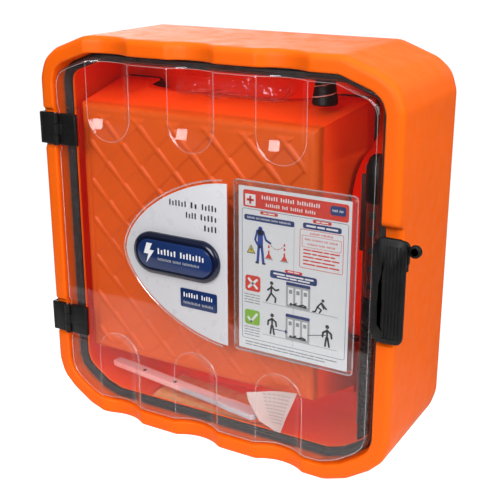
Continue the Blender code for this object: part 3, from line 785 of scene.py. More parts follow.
@dataclass
class CabinetShell:
    """The orange moulding: rim, flutes, ledge, cavity, latch scoop and hinge recesses."""

    flutes: Flutes = field(default_factory=Flutes)
    wall: float = 0.005
    rim_width: float = 0.030
    rim_depth: float = 0.040
    ledge_width: float = 0.018
    front_round: float = 0.012
    back_round: float = 0.040
    taper: float = 0.0035
    recess_depth: float = 0.0045
    scoop_depth: float = 0.022

    def relief(self, x: float, z: float) -> float:
        """Return how far the rim's front is set back at a place."""
        depth = self.flutes.relief(x, z)
        soft = 0.004
        if x < -0.3:
            for leaf in ("hinge_frame_leaf_upper", "hinge_frame_leaf_lower"):
                span = Span.of(leaf)
                rise = smooth_step(z, span.low.z - 0.008, span.low.z - 0.008 + soft)
                fall = 1 - smooth_step(z, span.high.z + 0.008 - soft, span.high.z + 0.008)
                depth = max(depth, self.recess_depth * rise * fall)
        if x > 0.3:
            low, high = MID_Z - 0.087, MID_Z + 0.113
            rise = smooth_step(z, low - 0.004, low + 0.008)
            fall = 1 - smooth_step(z, high - 0.008, high + 0.004)
            depth = max(depth, self.scoop_depth * rise * fall)
        return depth

    def stations(self) -> list[tuple[float, float]]:
        """Return the skin's section as insets and depths, from the back round to the cavity."""
        path: list[tuple[float, float]] = []
        path += self._arc(self.back_round, self.back_round, BACK - self.back_round, 90, 0, 10)
        path += [(0.0, BACK - 0.040 - k * (DEPTH - 0.105) / 4) for k in range(1, 5)]
        path += [(0.0, FRONT + 0.045), (0.0, FRONT + 0.030), (0.0, FRONT + 0.018)]
        path += self._arc(self.front_round, self.front_round, FRONT + self.front_round, 0, -90, 7)
        path += [(self.front_round + k * 0.0048, FRONT) for k in range(1, 4)]
        inner = self.rim_width
        path += [(inner - 0.0025, FRONT), (inner - 0.0008, FRONT + 0.0008), (inner, FRONT + 0.0025)]
        ledge = FRONT + self.rim_depth
        path += [(inner, FRONT + 0.015), (inner, ledge - 0.002), (inner + 0.001, ledge - 0.0005),
                (inner + 0.003, ledge)]
        lip = inner + self.ledge_width
        path += [(lip - 0.001, ledge), (lip, ledge + 0.001), (lip, ledge + self.wall - 0.001),
                (lip - 0.001, ledge + self.wall)]
        path += [(self.wall + 0.012, ledge + self.wall), (self.wall + 0.002, ledge + self.wall + 0.003),
                (self.wall, ledge + self.wall + 0.012)]
        inner_back = BACK - self.wall
        inner_round = self.back_round - self.wall
        path += [(self.wall, inner_back - inner_round - 0.05)]
        path += self._arc(self.wall + inner_round, inner_round, inner_back - inner_round, 0, 90, 8)
        return path

    @staticmethod
    def _arc(centre_inset: float, radius: float, centre_y: float, start: float, end: float,
            steps: int) -> list[tuple[float, float]]:
        """Return an arc of the section, by angles from the side towards the back."""
        angles = [math.radians(start + (end - start) * k / steps) for k in range(steps + 1)]
        return [(centre_inset - radius * math.cos(a), centre_y + radius * math.sin(a)) for a in angles]

    def build(self) -> None:
        """Make the shell and the two rests that carry the stool."""
        outline = Outline(cabinet_corners(), 0.050, 0.0048, 6)
        rings = []
        span = 0.060
        for inset, y in self.stations():
            ring = outline.ring(inset)
            narrow = 1 - 2 * self.taper / WIDTH * (y - FRONT) / DEPTH
            front_zone = max(1 - (y - FRONT) / span, 0.0)
            if inset > self.rim_width + 0.0005 and y > FRONT + self.rim_depth - 0.001:
                front_zone = 0.0
            if abs(inset - self.rim_width) < 0.002 and y > FRONT + 0.001:
                front_zone = max(1 - (y - FRONT) / (self.rim_depth - 0.002), 0.0)
            rings.append([Vector((p.x * narrow, y + self.relief(p.x, p.z) * front_zone,
                    p.z)) for p in ring])
        add_piece("shell_moulding", loft(rings), Finish.shell, Body.CABINET, ["cabinet_shell"],
                42)
        for side in ("left", "right"):
            foot = Span.of(f"stool_foot_lower_{side}")
            rest = block((foot.middle.x - 0.023, BACK - 0.060, foot.low.z - 0.029),
                    (foot.middle.x + 0.023, BACK - self.wall + 0.001, foot.low.z - 0.0008),
                    0.004)
            add_piece(f"stool_rest_{side}", rest, Finish.shell, Body.CABINET)


@dataclass
class Gasket:
    """Rubber strip with a raised bulb, on the ledge round the opening."""

    outer_inset: float = 0.031
    inner_inset: float = 0.0475

    def build(self) -> None:
        """Make the strip as one closed ring."""
        span = Span.of("door_gasket")
        outline = Outline(cabinet_corners(), 0.050, 0.010, 6)
        y_back, y_front = span.high.y, span.low.y
        width = self.inner_inset - self.outer_inset
        section = [(0.0, y_back), (0.0, y_front + 0.003), (0.06, y_front + 0.0012),
                (0.15, y_front + 0.0008),
                (0.22, y_front + 0.0016), (0.30, y_front + 0.0003), (0.45, y_front),
                (0.60, y_front + 0.0003),
                (0.70, y_front + 0.0016), (0.82, y_front + 0.0008), (0.94, y_front + 0.0014),
                (1.0, y_front + 0.003),
                (1.0, y_back)]
        rings = [[Vector((p.x, y, p.z)) for p in outline.ring(self.outer_inset + share * width)]
                for share, y in section]
        add_piece("gasket_strip", loft(rings, joined=True), Finish.rubber, Body.CABINET, ["door_gasket"])


# ---- door

@dataclass
class DoorPanel:
    """Clear formed door: one sheet with flutes, hinge pads, side walls and a turned edge."""

    flutes: Flutes = field(default_factory=Flutes)
    inset: float = 0.0365
    shift: Point2 = (-0.0018, -0.003)
    sheet: float = 0.003
    edge_round: float = 0.005
    highlight_radius: float = 0.00042
    pad_depth: float = 0.0045
    pad_height: float = 0.080

    def pads(self) -> list[tuple[float, float, float]]:
        """Return each hinge pad as its right edge, low edge and high edge."""
        result = []
        for place in ("upper", "lower"):
            leaf = Span.of(f"hinge_door_leaf_{place}")
            result.append((leaf.high.x + 0.003, leaf.middle.z - self.pad_height / 2,
                    leaf.middle.z + self.pad_height / 2))
        return result

    def relief(self, x: float, z: float) -> float:
        """Return how deep the door's face is pressed in at a place."""
        depth = self.flutes.relief(x, z)
        for right, low, high in self.pads():
            share = 1 - smooth_step(x, right - 0.001, right + 0.0015)
            share *= smooth_step(z, low - 0.0015,
                    low + 0.001) * (1 - smooth_step(z, high - 0.001, high + 0.0015))
            depth = max(depth, self.pad_depth * share)
        return depth

    def lines_across(self) -> list[float]:
        """Return the upright grid lines, close together across each flute."""
        lines = {DOOR.low.x - 0.004, DOOR.high.x + 0.004}
        for centre in self.flutes.centres:
            lines.update(centre + self.flutes.width / 2 * 1.06 * k / 15 for k in range(-15, 16))
        for right, _, _ in self.pads()[:1]:
            lines.update((right - 0.001, right + 0.0002, right + 0.0015))
        return fill_lines(sorted(lines), 0.007)

    def lines_up(self) -> list[float]:
        """Return the level grid lines, close together at each flute's round end."""
        lines = {DOOR.low.z - 0.004, DOOR.high.z + 0.004}
        for side in (-1, 1):
            for k in range(22):
                lines.add(MID_Z + side * (self.flutes.end - 0.002 + k * 0.0024))
        for _, low, high in self.pads():
            lines.update((low - 0.0015, low - 0.0003, low + 0.001, high - 0.001, high + 0.0003,
                    high + 0.0015))
        return fill_lines(sorted(lines), 0.008)

    def build(self) -> None:
        """Form the door from a flat grid and give it its thickness."""
        xs, zs = self.lines_across(), self.lines_up()
        bm = bmesh.new()
        bmesh.ops.create_grid(bm, x_segments=len(xs) - 1, y_segments=len(zs) - 1, size=0.5)
        for vert in bm.verts:
            column = round((vert.co.x + 0.5) * (len(xs) - 1))
            row = round((vert.co.y + 0.5) * (len(zs) - 1))
            vert.co = Vector((xs[column], DOOR_FACE, zs[row]))
        outline = Outline(cabinet_corners(self.shift, self.inset), 0.030, 0.008, 5)
        face_ring = outline.ring(self.edge_round)
        trim_to(bm, face_ring)
        border = [e for e in bm.edges if e.is_boundary]
        for extra, y in self._edge_steps():
            border, fresh = grow_edge(bm, border)
            for vert in fresh:
                away = self._outward(face_ring, vert.co)
                vert.co.x += away.x * extra
                vert.co.z += away.z * extra
                vert.co.y = y
        back = DOOR.high.y
        for vert in bm.verts:
            keep = max(1 - (vert.co.y - DOOR_FACE) / (back - DOOR_FACE), 0.0)
            vert.co.y += self.relief(vert.co.x, vert.co.z) * keep
        bmesh.ops.remove_doubles(bm, verts=bm.verts, dist=1e-6)
        face_forwards(bm)
        item = add_piece("door_sheet", bm, Finish.sheet, Body.DOOR, ["door_panel"], 28)
        thick = item.modifiers.new("sheet", "SOLIDIFY")
        thick.thickness = self.sheet
        thick.offset = -1.0
        self._crease_highlights(face_ring)

    def _crease_highlights(self, face_ring: list[Vector]) -> None:
        """Make thin whitish tubes round each groove and the door's edge: painted highlight lines along the
        moulded edges.
        """
        lines = []
        half, top, low = self.flutes.width / 2 - 0.0006, DOOR.high.z - 0.006, DOOR.low.z + 0.006
        for centre in self.flutes.centres:
            for side, limit in ((1, top), (-1, low)):
                round_z = MID_Z + side * (self.flutes.end + self.flutes.width / 2)
                path = [(centre - half, limit), (centre - half, round_z)]
                path += [(centre - half * math.cos(a), round_z - side * half * math.sin(a))
                        for a in (math.pi * k / 24 for k in range(1, 24))]
                path += [(centre + half, round_z), (centre + half, limit)]
                lines.append(tube_along(upright(path, DOOR_FACE + 0.0002), self.highlight_radius, sides=6))
        path = [Vector((p.x, DOOR_FACE + self.relief(p.x, p.z) - 0.0001, p.z)) for p in face_ring]
        lines.append(tube_along(path, self.highlight_radius * 1.3, closed=True, sides=6))
        add_piece("door_crease_highlights", merged(*lines), Finish.highlight_bead, Body.DOOR)

    def _edge_steps(self) -> list[tuple[float, float]]:
        """Return the moves outwards and the depths of the door's rounded edge and wall."""
        steps = []
        done = 0.0
        for k in range(1, 4):
            angle = math.pi / 2 * k / 3
            out = self.edge_round * math.sin(angle)
            steps.append((out - done, DOOR_FACE + self.edge_round * (1 - math.cos(angle))))
            done = out
        back = DOOR.high.y
        return steps + [(0.0, (DOOR_FACE + back) / 2), (0.0, back)]

    @staticmethod
    def _outward(ring: list[Vector], place: Vector) -> Vector:
        """Return the outward direction of the outline nearest a place."""
        nearest = min(range(len(ring)),
                key=lambda i: (ring[i].x - place.x) ** 2 + (ring[i].z - place.z) ** 2)
        along = ring[(nearest + 1) % len(ring)] - ring[nearest - 1]
        away = Vector((along.z, 0, -along.x)).normalized()
        if away.dot(place - Vector((0, 0, MID_Z))) < 0:
            away.negate()
        return away


def trim_to(bm: Mesh, ring: list[Vector]) -> None:
    """Cut an upright sheet to a convex outline.

    Args:
        bm: the sheet.
        ring: the outline's points in order.
    """
    middle = sum(ring, Vector()) / len(ring)
    kept: list[tuple[Vector, Vector]] = []
    for start, end in zip(ring, ring[1:] + ring[:1]):
        along = end - start
        if along.length < 1e-5:
            continue
        away = Vector((along.z, 0, -along.x)).normalized()
        if away.dot(start - middle) < 0:
            away.negate()
        if kept and kept[-1][1].angle(away) < math.radians(1.0):
            continue
        kept.append((start, away))
    for start, away in kept:
        bmesh.ops.bisect_plane(bm, geom=bm.verts[:] + bm.edges[:] + bm.faces[:], dist=1e-7,
                plane_co=start, plane_no=away, clear_outer=True)


def fill_lines(lines: list[float], step: float) -> list[float]:
    """Add lines between those given, so that none are further apart than step."""
    result = []
    for low, high in zip(lines, lines[1:]):
        if high - low < 0.0004:
            continue
        parts = max(1, math.ceil((high - low) / step))
        result += [low + (high - low) * k / parts for k in range(parts)]
    return result + [lines[-1]]


# ---- hinges and latch

@dataclass
class Hinge:
    """One hinge: moulded leaf on the rim, leaf on the door, knuckles, pin and clamp nuts."""

    place: str
    nuts: tuple[str, str]
    axis_x: float = -0.324
    knuckle: float = 0.006
    pin: float = 0.0025

    def build(self) -> None:
        """Make the hinge's pieces."""
        frame_leaf = Span.of(f"hinge_frame_leaf_{self.place}")
        door_leaf = Span.of(f"hinge_door_leaf_{self.place}")
        low, high = frame_leaf.low.z, frame_leaf.high.z
        third = (high - low) / 3
        axis_y = frame_leaf.low.y + self.knuckle
        centre = (self.axis_x, axis_y, 0)
        rim = FRONT + 0.0042
        solids = [block((frame_leaf.low.x, rim - 0.0072, low), (self.axis_x - 0.001, rim, high), 0.0022),
                block((frame_leaf.low.x, rim - 0.004, low + 0.001),
                (frame_leaf.low.x + 0.0019, frame_leaf.high.y, high - 0.001), 0.0008),
                turned(rod(0.0042, low + 0.0005, high - 0.0005, 0.0012),
                (frame_leaf.low.x + 0.0043, rim - 0.0036, 0))]
        for start, end in ((low, low + third - 0.0003), (high - third + 0.0003, high)):
            solids.append(turned(rod(self.knuckle, start, end, 0.0008), centre))
        add_piece(f"hinge_{self.place}_frame_leaf", merged(*solids), Finish.black, Body.CABINET,
                [f"hinge_frame_leaf_{self.place}"])
        edge = door_leaf.high.y
        solids = [block((self.axis_x + self.knuckle + 0.0008, edge - 0.0085, low),
                (door_leaf.high.x, edge, high), 0.0024),
                turned(rod(self.knuckle, low + third, high - third, 0.0008), centre),
                block((self.axis_x, axis_y - 0.001, low + third),
                (self.axis_x + 0.014, edge - 0.0006, high - third), 0.001)]
        for height in (low + third, high - third):
            solids.append(block((self.axis_x + self.knuckle + 0.003, edge - 0.0089, height - 0.0006),
                    (door_leaf.high.x - 0.004, edge - 0.0080, height + 0.0006), 0.0003))
        add_piece(f"hinge_{self.place}_door_leaf", merged(*solids), Finish.black, Body.DOOR,
                [f"hinge_door_leaf_{self.place}"])
        pin = Span.of(f"hinge_pin_{self.place}")
        add_piece(f"hinge_{self.place}_pin", turned(rod(self.pin, pin.low.z, pin.high.z), centre),
                Finish.steel,
                Body.CABINET, [f"hinge_pin_{self.place}"])
        for nut in self.nuts:
            span = Span.of(nut)
            solid = turned([(0, 0), (0.0044, 0), (0.0044, 0.0005), (0.0035, 0.0008), (0.0033, 0.003),
                    (0.0020, 0.004), (0, 0.004)],
                    (span.middle.x, span.low.y, span.middle.z), "Y", 6)
            solid_centre = Vector((span.middle.x, span.middle.y, span.middle.z))
            bmesh.ops.rotate(solid, verts=solid.verts, cent=solid_centre,
                    matrix=Matrix.Rotation(math.pi, 3, "X"))
            add_piece(f"{nut}_cap", solid, Finish.steel, Body.DOOR, [nut], smooth=False)


def resample(outline: Sequence[Point2], count: int) -> list[Point2]:
    """Return a closed outline as equally spaced points."""
    points = [Vector(p) for p in outline]
    lengths = [0.0]
    for start, end in zip(points, points[1:] + points[:1]):
        lengths.append(lengths[-1] + (end - start).length)
    result = []
    index = 0
    for k in range(count):
        target = lengths[-1] * k / count
        while lengths[index + 1] < target:
            index += 1
        share = (target - lengths[index]) / (lengths[index + 1] - lengths[index])
        place = points[index].lerp(points[(index + 1) % len(points)], share)
        result.append((place.x, place.y))
    return result


def grown(outline: Sequence[Point2], distance: float) -> list[Point2]:
    """Move each point of a roughly convex outline away from its middle."""
    middle = sum((Vector(p) for p in outline), Vector((0, 0))) / len(outline)
    result = []
    for p in outline:
        away = Vector(p) - middle
        moved = Vector(p) + away.normalized() * distance
        result.append((moved.x, moved.y))
    return result


def holed_plate(outer: Sequence[Point2], hole: Sequence[Point2], y_front: float, y_back: float,
        edge: float, count: int = 72) -> Mesh:
    """Return a plate with a hole through it and rounded front edges.

    Args:
        outer: its outline in X and Z.
        hole: the hole's outline, wound the same way.
        y_front: where its front lies.
        y_back: where its back lies.
        edge: size of the rounding.
        count: points round each outline.

    Returns:
        The closed skin.
    """
    outside, inside = resample(outer, count), resample(hole, count)
    rings = [(outside, y_back), (outside, y_front + edge),
            (grown(outside, -edge * 0.4), y_front + edge * 0.3),
            (grown(outside, -edge), y_front), (grown(inside, edge), y_front),
            (grown(inside, edge * 0.3), y_front + edge * 0.4),
            (inside, y_front + edge), (inside, y_back)]
    return loft([upright(ring, y) for ring, y in rings], joined=True)


@dataclass
class Latch:
    """Side latch: ribbed lever with a finger slot, bracket and pin on the door, catch on the cabinet."""

    axis: Point2 = (0.3255, FRONT - 0.003)
    ribs: int = 6
    corner: float = 0.012
    slot_width: float = 0.006

    def build(self) -> None:
        """Make the lever, its bracket, pin and rivets, and the catch."""
        self._lever()
        self._bracket()
        self._catch()

    def _lever(self) -> None:
        """Make the ribbed lever."""
        span = Span.of("latch_lever")
        low, high = span.low.z, span.high.z
        axis_x, axis_y = self.axis
        face = FRONT - 0.009
        width, height = span.high.x - axis_x, high - low
        plate = oblong((axis_x + width / 2, (low + high) / 2), (width, height), self.corner)
        slot = oblong((axis_x + 0.0115, MID_Z - 0.014), (self.slot_width, 0.072), 0.0028)
        solids = [holed_plate(plate, slot, face, face + 0.0055, 0.0014)]
        for number in range(self.ribs):
            x = axis_x + 0.0185 + number * 0.0058
            trim = 0.012 + (0.004 if number == self.ribs - 1 else 0.0)
            solids.append(block((x, face - 0.0018, low + trim), (x + 0.0026, face + 0.001, high - trim),
                    0.0011))
        solids.append(block((axis_x + 0.0165, face - 0.0012, low + 0.007),
                (span.high.x - 0.006, face + 0.001, low + 0.0095), 0.0009))
        for start, end in ((low + 0.013, MID_Z - 0.0525), (MID_Z - 0.0375, MID_Z + 0.0575),
                (MID_Z + 0.0725, high - 0.013)):
            solids.append(turned(rod(0.005, start, end, 0.0008), (axis_x, axis_y, 0)))
        solids.append(block((axis_x + 0.004, axis_y, MID_Z - 0.020),
                (axis_x + 0.0095, FRONT + 0.013, MID_Z + 0.030), 0.001))
        add_piece("latch_handle", merged(*solids), Finish.black, Body.LEVER, ["latch_lever"])
        floor = block((axis_x + 0.0080, face + 0.0030, MID_Z - 0.052),
                (axis_x + 0.0150, face + 0.0052, MID_Z + 0.024), 0.0006)
        add_piece("latch_slot_floor", floor, Finish.rubber, Body.LEVER)

    def _bracket(self) -> None:
        """Make the bracket on the door's edge, its pin and its rivets."""
        span = Span.of("latch_bracket")
        axis_x, axis_y = self.axis
        solids = [block((0.3220, DOOR_FACE, span.low.z), (0.3250, span.high.y, span.high.z), 0.001)]
        for low, high in ((MID_Z - 0.052, MID_Z - 0.038), (MID_Z + 0.058, MID_Z + 0.072)):
            solids.append(turned(rod(0.005, low, high, 0.0008), (axis_x, axis_y, 0)))
            solids.append(block((0.3220, axis_y, low), (axis_x + 0.003, DOOR_FACE + 0.006, high), 0.0008))
        add_piece("latch_mount", merged(*solids), Finish.black, Body.DOOR, ["latch_bracket"])
        pin = Span.of("latch_pin")
        add_piece("latch_hinge_pin", turned(rod(0.0025, pin.low.z, pin.high.z), (axis_x, axis_y, 0)),
                Finish.steel,
                Body.DOOR, ["latch_pin"])
        for number in (1, 2, 3):
            node = f"latch_rivet_{number}"
            rivet = Span.of(node)
            solid = turned([(0, -0.001), (0.0022, -0.0009), (0.0034, -0.0003), (0.0039, 0.0006),
                    (0.0039, 0.001), (0, 0.001)],
                    rivet.middle, "X", 20)
            add_piece(f"{node}_head", solid, Finish.steel, Body.DOOR, [node])

    @staticmethod
    def _catch() -> None:
        """Make the catch with its padlock eye and roll."""
        right = WIDTH / 2 + 0.009
        solids = [block((WIDTH / 2 - 0.011, FRONT - 0.0005, MID_Z - 0.072),
                (right, FRONT + 0.0217, MID_Z + 0.062), 0.0028)]
        for z in (-0.050, -0.024, 0.002, 0.028):
            solids.append(block((right - 0.008, FRONT - 0.0013, MID_Z + z),
                    (right - 0.001, FRONT + 0.0005, MID_Z + z + 0.006), 0.0008))
        arm = oblong((right - 0.004, MID_Z + 0.072), (0.028, 0.044), 0.010)
        solids.append(prism(arm, FRONT + 0.001, FRONT + 0.007, 0.0012))
        eye_x, eye_z = 0.388, MID_Z + 0.080
        solids.append(holed_plate(disc((eye_x, eye_z), 0.0105), disc((eye_x, eye_z), 0.0048),
                FRONT + 0.0004, FRONT + 0.0072, 0.0012))
        solids.append(turned(rod(0.0045, MID_Z + 0.044, MID_Z + 0.060, 0.001),
                (right + 0.004, FRONT + 0.006, 0)))
        add_piece("latch_keeper", merged(*solids), Finish.black, Body.CABINET, ["latch_catch"])


# ---- print

class Artwork:
    """Flat printed shapes on an upright face, gathered into one piece for each ink."""

    layer = 0.00016

    def __init__(self, name: str, body: Body, face_y: float) -> None:
        """Start the print on a face.

        Args:
            name: start of the pieces' names.
            body: the body that the face belongs to.
            face_y: where the face lies.
        """
        self.name, self.body, self.face_y = name, body, face_y
        self.shapes: dict[Ink, list[Mesh]] = {}

    def add(self, ink: Ink, outline: Sequence[Point2], level: int = 0) -> None:
        """Add one shape.

        Args:
            ink: its ink.
            outline: its outline in millimetres from the cabinet's middle.
            level: how many inks lie under it.
        """
        placed = [(x * MM, MID_Z + z * MM) for x, z in outline]
        front = self.face_y - self.layer * (level + 1)
        self.shapes.setdefault(ink, []).append(prism(placed, front, self.face_y))

    def bar(self, ink: Ink, left: float, right: float, low: float, high: float, radius: float = 0.6,
            level: int = 0) -> None:
        """Add a rectangle with round corners."""
        size = (right - left, high - low)
        radius = min(radius, size[0] * 0.49, size[1] * 0.49)
        self.add(ink, oblong(((left + right) / 2, (low + high) / 2), size, radius, 4), level)

    def stroke(self, ink: Ink, points: Sequence[Point2], width: float, level: int = 0) -> None:
        """Add a line with round ends through points."""
        for start, end in zip(points, points[1:]):
            along = Vector(end) - Vector(start)
            angle = math.atan2(along.y, along.x)
            capsule = []
            for base, turn in ((end, -math.pi / 2), (start, math.pi / 2)):
                for k in range(7):
                    a = angle + turn + math.pi * k / 6
                    capsule.append((base[0] + width / 2 * math.cos(a), base[1] + width / 2 * math.sin(a)))
            self.add(ink, capsule, level)

    def frame(self, ink: Ink, left: float, right: float, low: float, high: float, line: float = 0.7,
            radius: float = 3.0, level: int = 0) -> None:
        """Add an outlined rectangle with round corners."""
        outline = oblong(((left + right) / 2, (low + high) / 2), (right - left, high - low), radius, 5)
        self.stroke(ink, outline + outline[:1], line, level)

    def words(self, ink: Ink, left: float, right: float, low: float, high: float, lengths: Sequence[float],
            level: int = 0) -> None:
        """Add a row of bars that stand for words.

        Args:
            ink: its ink.
            left: start of the row.
            right: end of the row.
            low: foot of the row.
            high: top of the row.
            lengths: relative length of each word.
            level: how many inks lie under it.
        """
        gap = (high - low) * 0.6
        scale = (right - left - gap * (len(lengths) - 1)) / sum(lengths)
        place = left
        for length in lengths:
            end = place + length * scale
            ticks = max(1, round((end - place) / (high - low) / 0.62)) if high - low > 3.2 else 1
            pitch = (end - place) / ticks
            thick = pitch * (0.46 if ticks > 1 else 1.0)
            for k in range(ticks):
                short = (high - low) * (0.22 if ticks > 1 and k % 3 == 1 else 0.0)
                self.bar(ink, place + k * pitch, place + k * pitch + thick, low, high - short, thick * 0.3,
                        level)
            place = end + gap

    def person(self, ink: Ink, x: float, z: float, size: float, pose: Sequence[Sequence[Point2]],
            level: int = 0) -> None:
        """Add a simple figure: a round head and limbs as lines.

        Args:
            ink: its ink.
            x: its left side.
            z: its foot.
            size: its height in millimetres.
            pose: the head's centre, then each limb's points, as shares of the size.
            level: how many inks lie under it.
        """
        head = pose[0][0]
        self.add(ink, disc((x + head[0] * size, z + head[1] * size), size * 0.085, 16), level)
        for limb in pose[1:]:
            self.stroke(ink, [(x + px * size, z + pz * size) for px, pz in limb], size * 0.085, level)

    def build(self, slot: str) -> None:
        """Make one piece for each ink."""
        for ink, solids in self.shapes.items():
            add_piece(f"{self.name}_{ink.name.lower()}", merged(*solids), INKS[ink], self.body,
                    smooth=False)


STANDING = (((0.5, 0.9),), ((0.5, 0.76), (0.5, 0.42)), ((0.5, 0.74), (0.32, 0.62), (0.30, 0.44)),
    ((0.5, 0.74), (0.68, 0.62), (0.70, 0.44)), ((0.47, 0.42), (0.42, 0.05)),
    ((0.53, 0.42), (0.60, 0.05)))
WALKING = (((0.5, 0.9),), ((0.5, 0.76), (0.48, 0.42)), ((0.5, 0.72), (0.70, 0.60), (0.84, 0.66)),
    ((0.5, 0.72), (0.32, 0.56)), ((0.47, 0.42), (0.26, 0.05)),
    ((0.50, 0.42), (0.70, 0.24), (0.68, 0.05)))
KNEELING = (((0.60, 0.72),), ((0.52, 0.60), (0.30, 0.34)), ((0.50, 0.58), (0.66, 0.30)),
    ((0.54, 0.58), (0.80, 0.30)),
    ((0.30, 0.34), (0.52, 0.20), (0.42, 0.04)), ((0.30, 0.34), (0.18, 0.05), (0.05, 0.04)))
LYING = (((0.0, 0.10),), ((0.12, 0.09), (0.52, 0.08)), ((0.16, 0.10), (0.34, 0.20)),
    ((0.52, 0.08), (0.95, 0.05)),
    ((0.52, 0.10), (0.74, 0.18), (0.95, 0.12)))


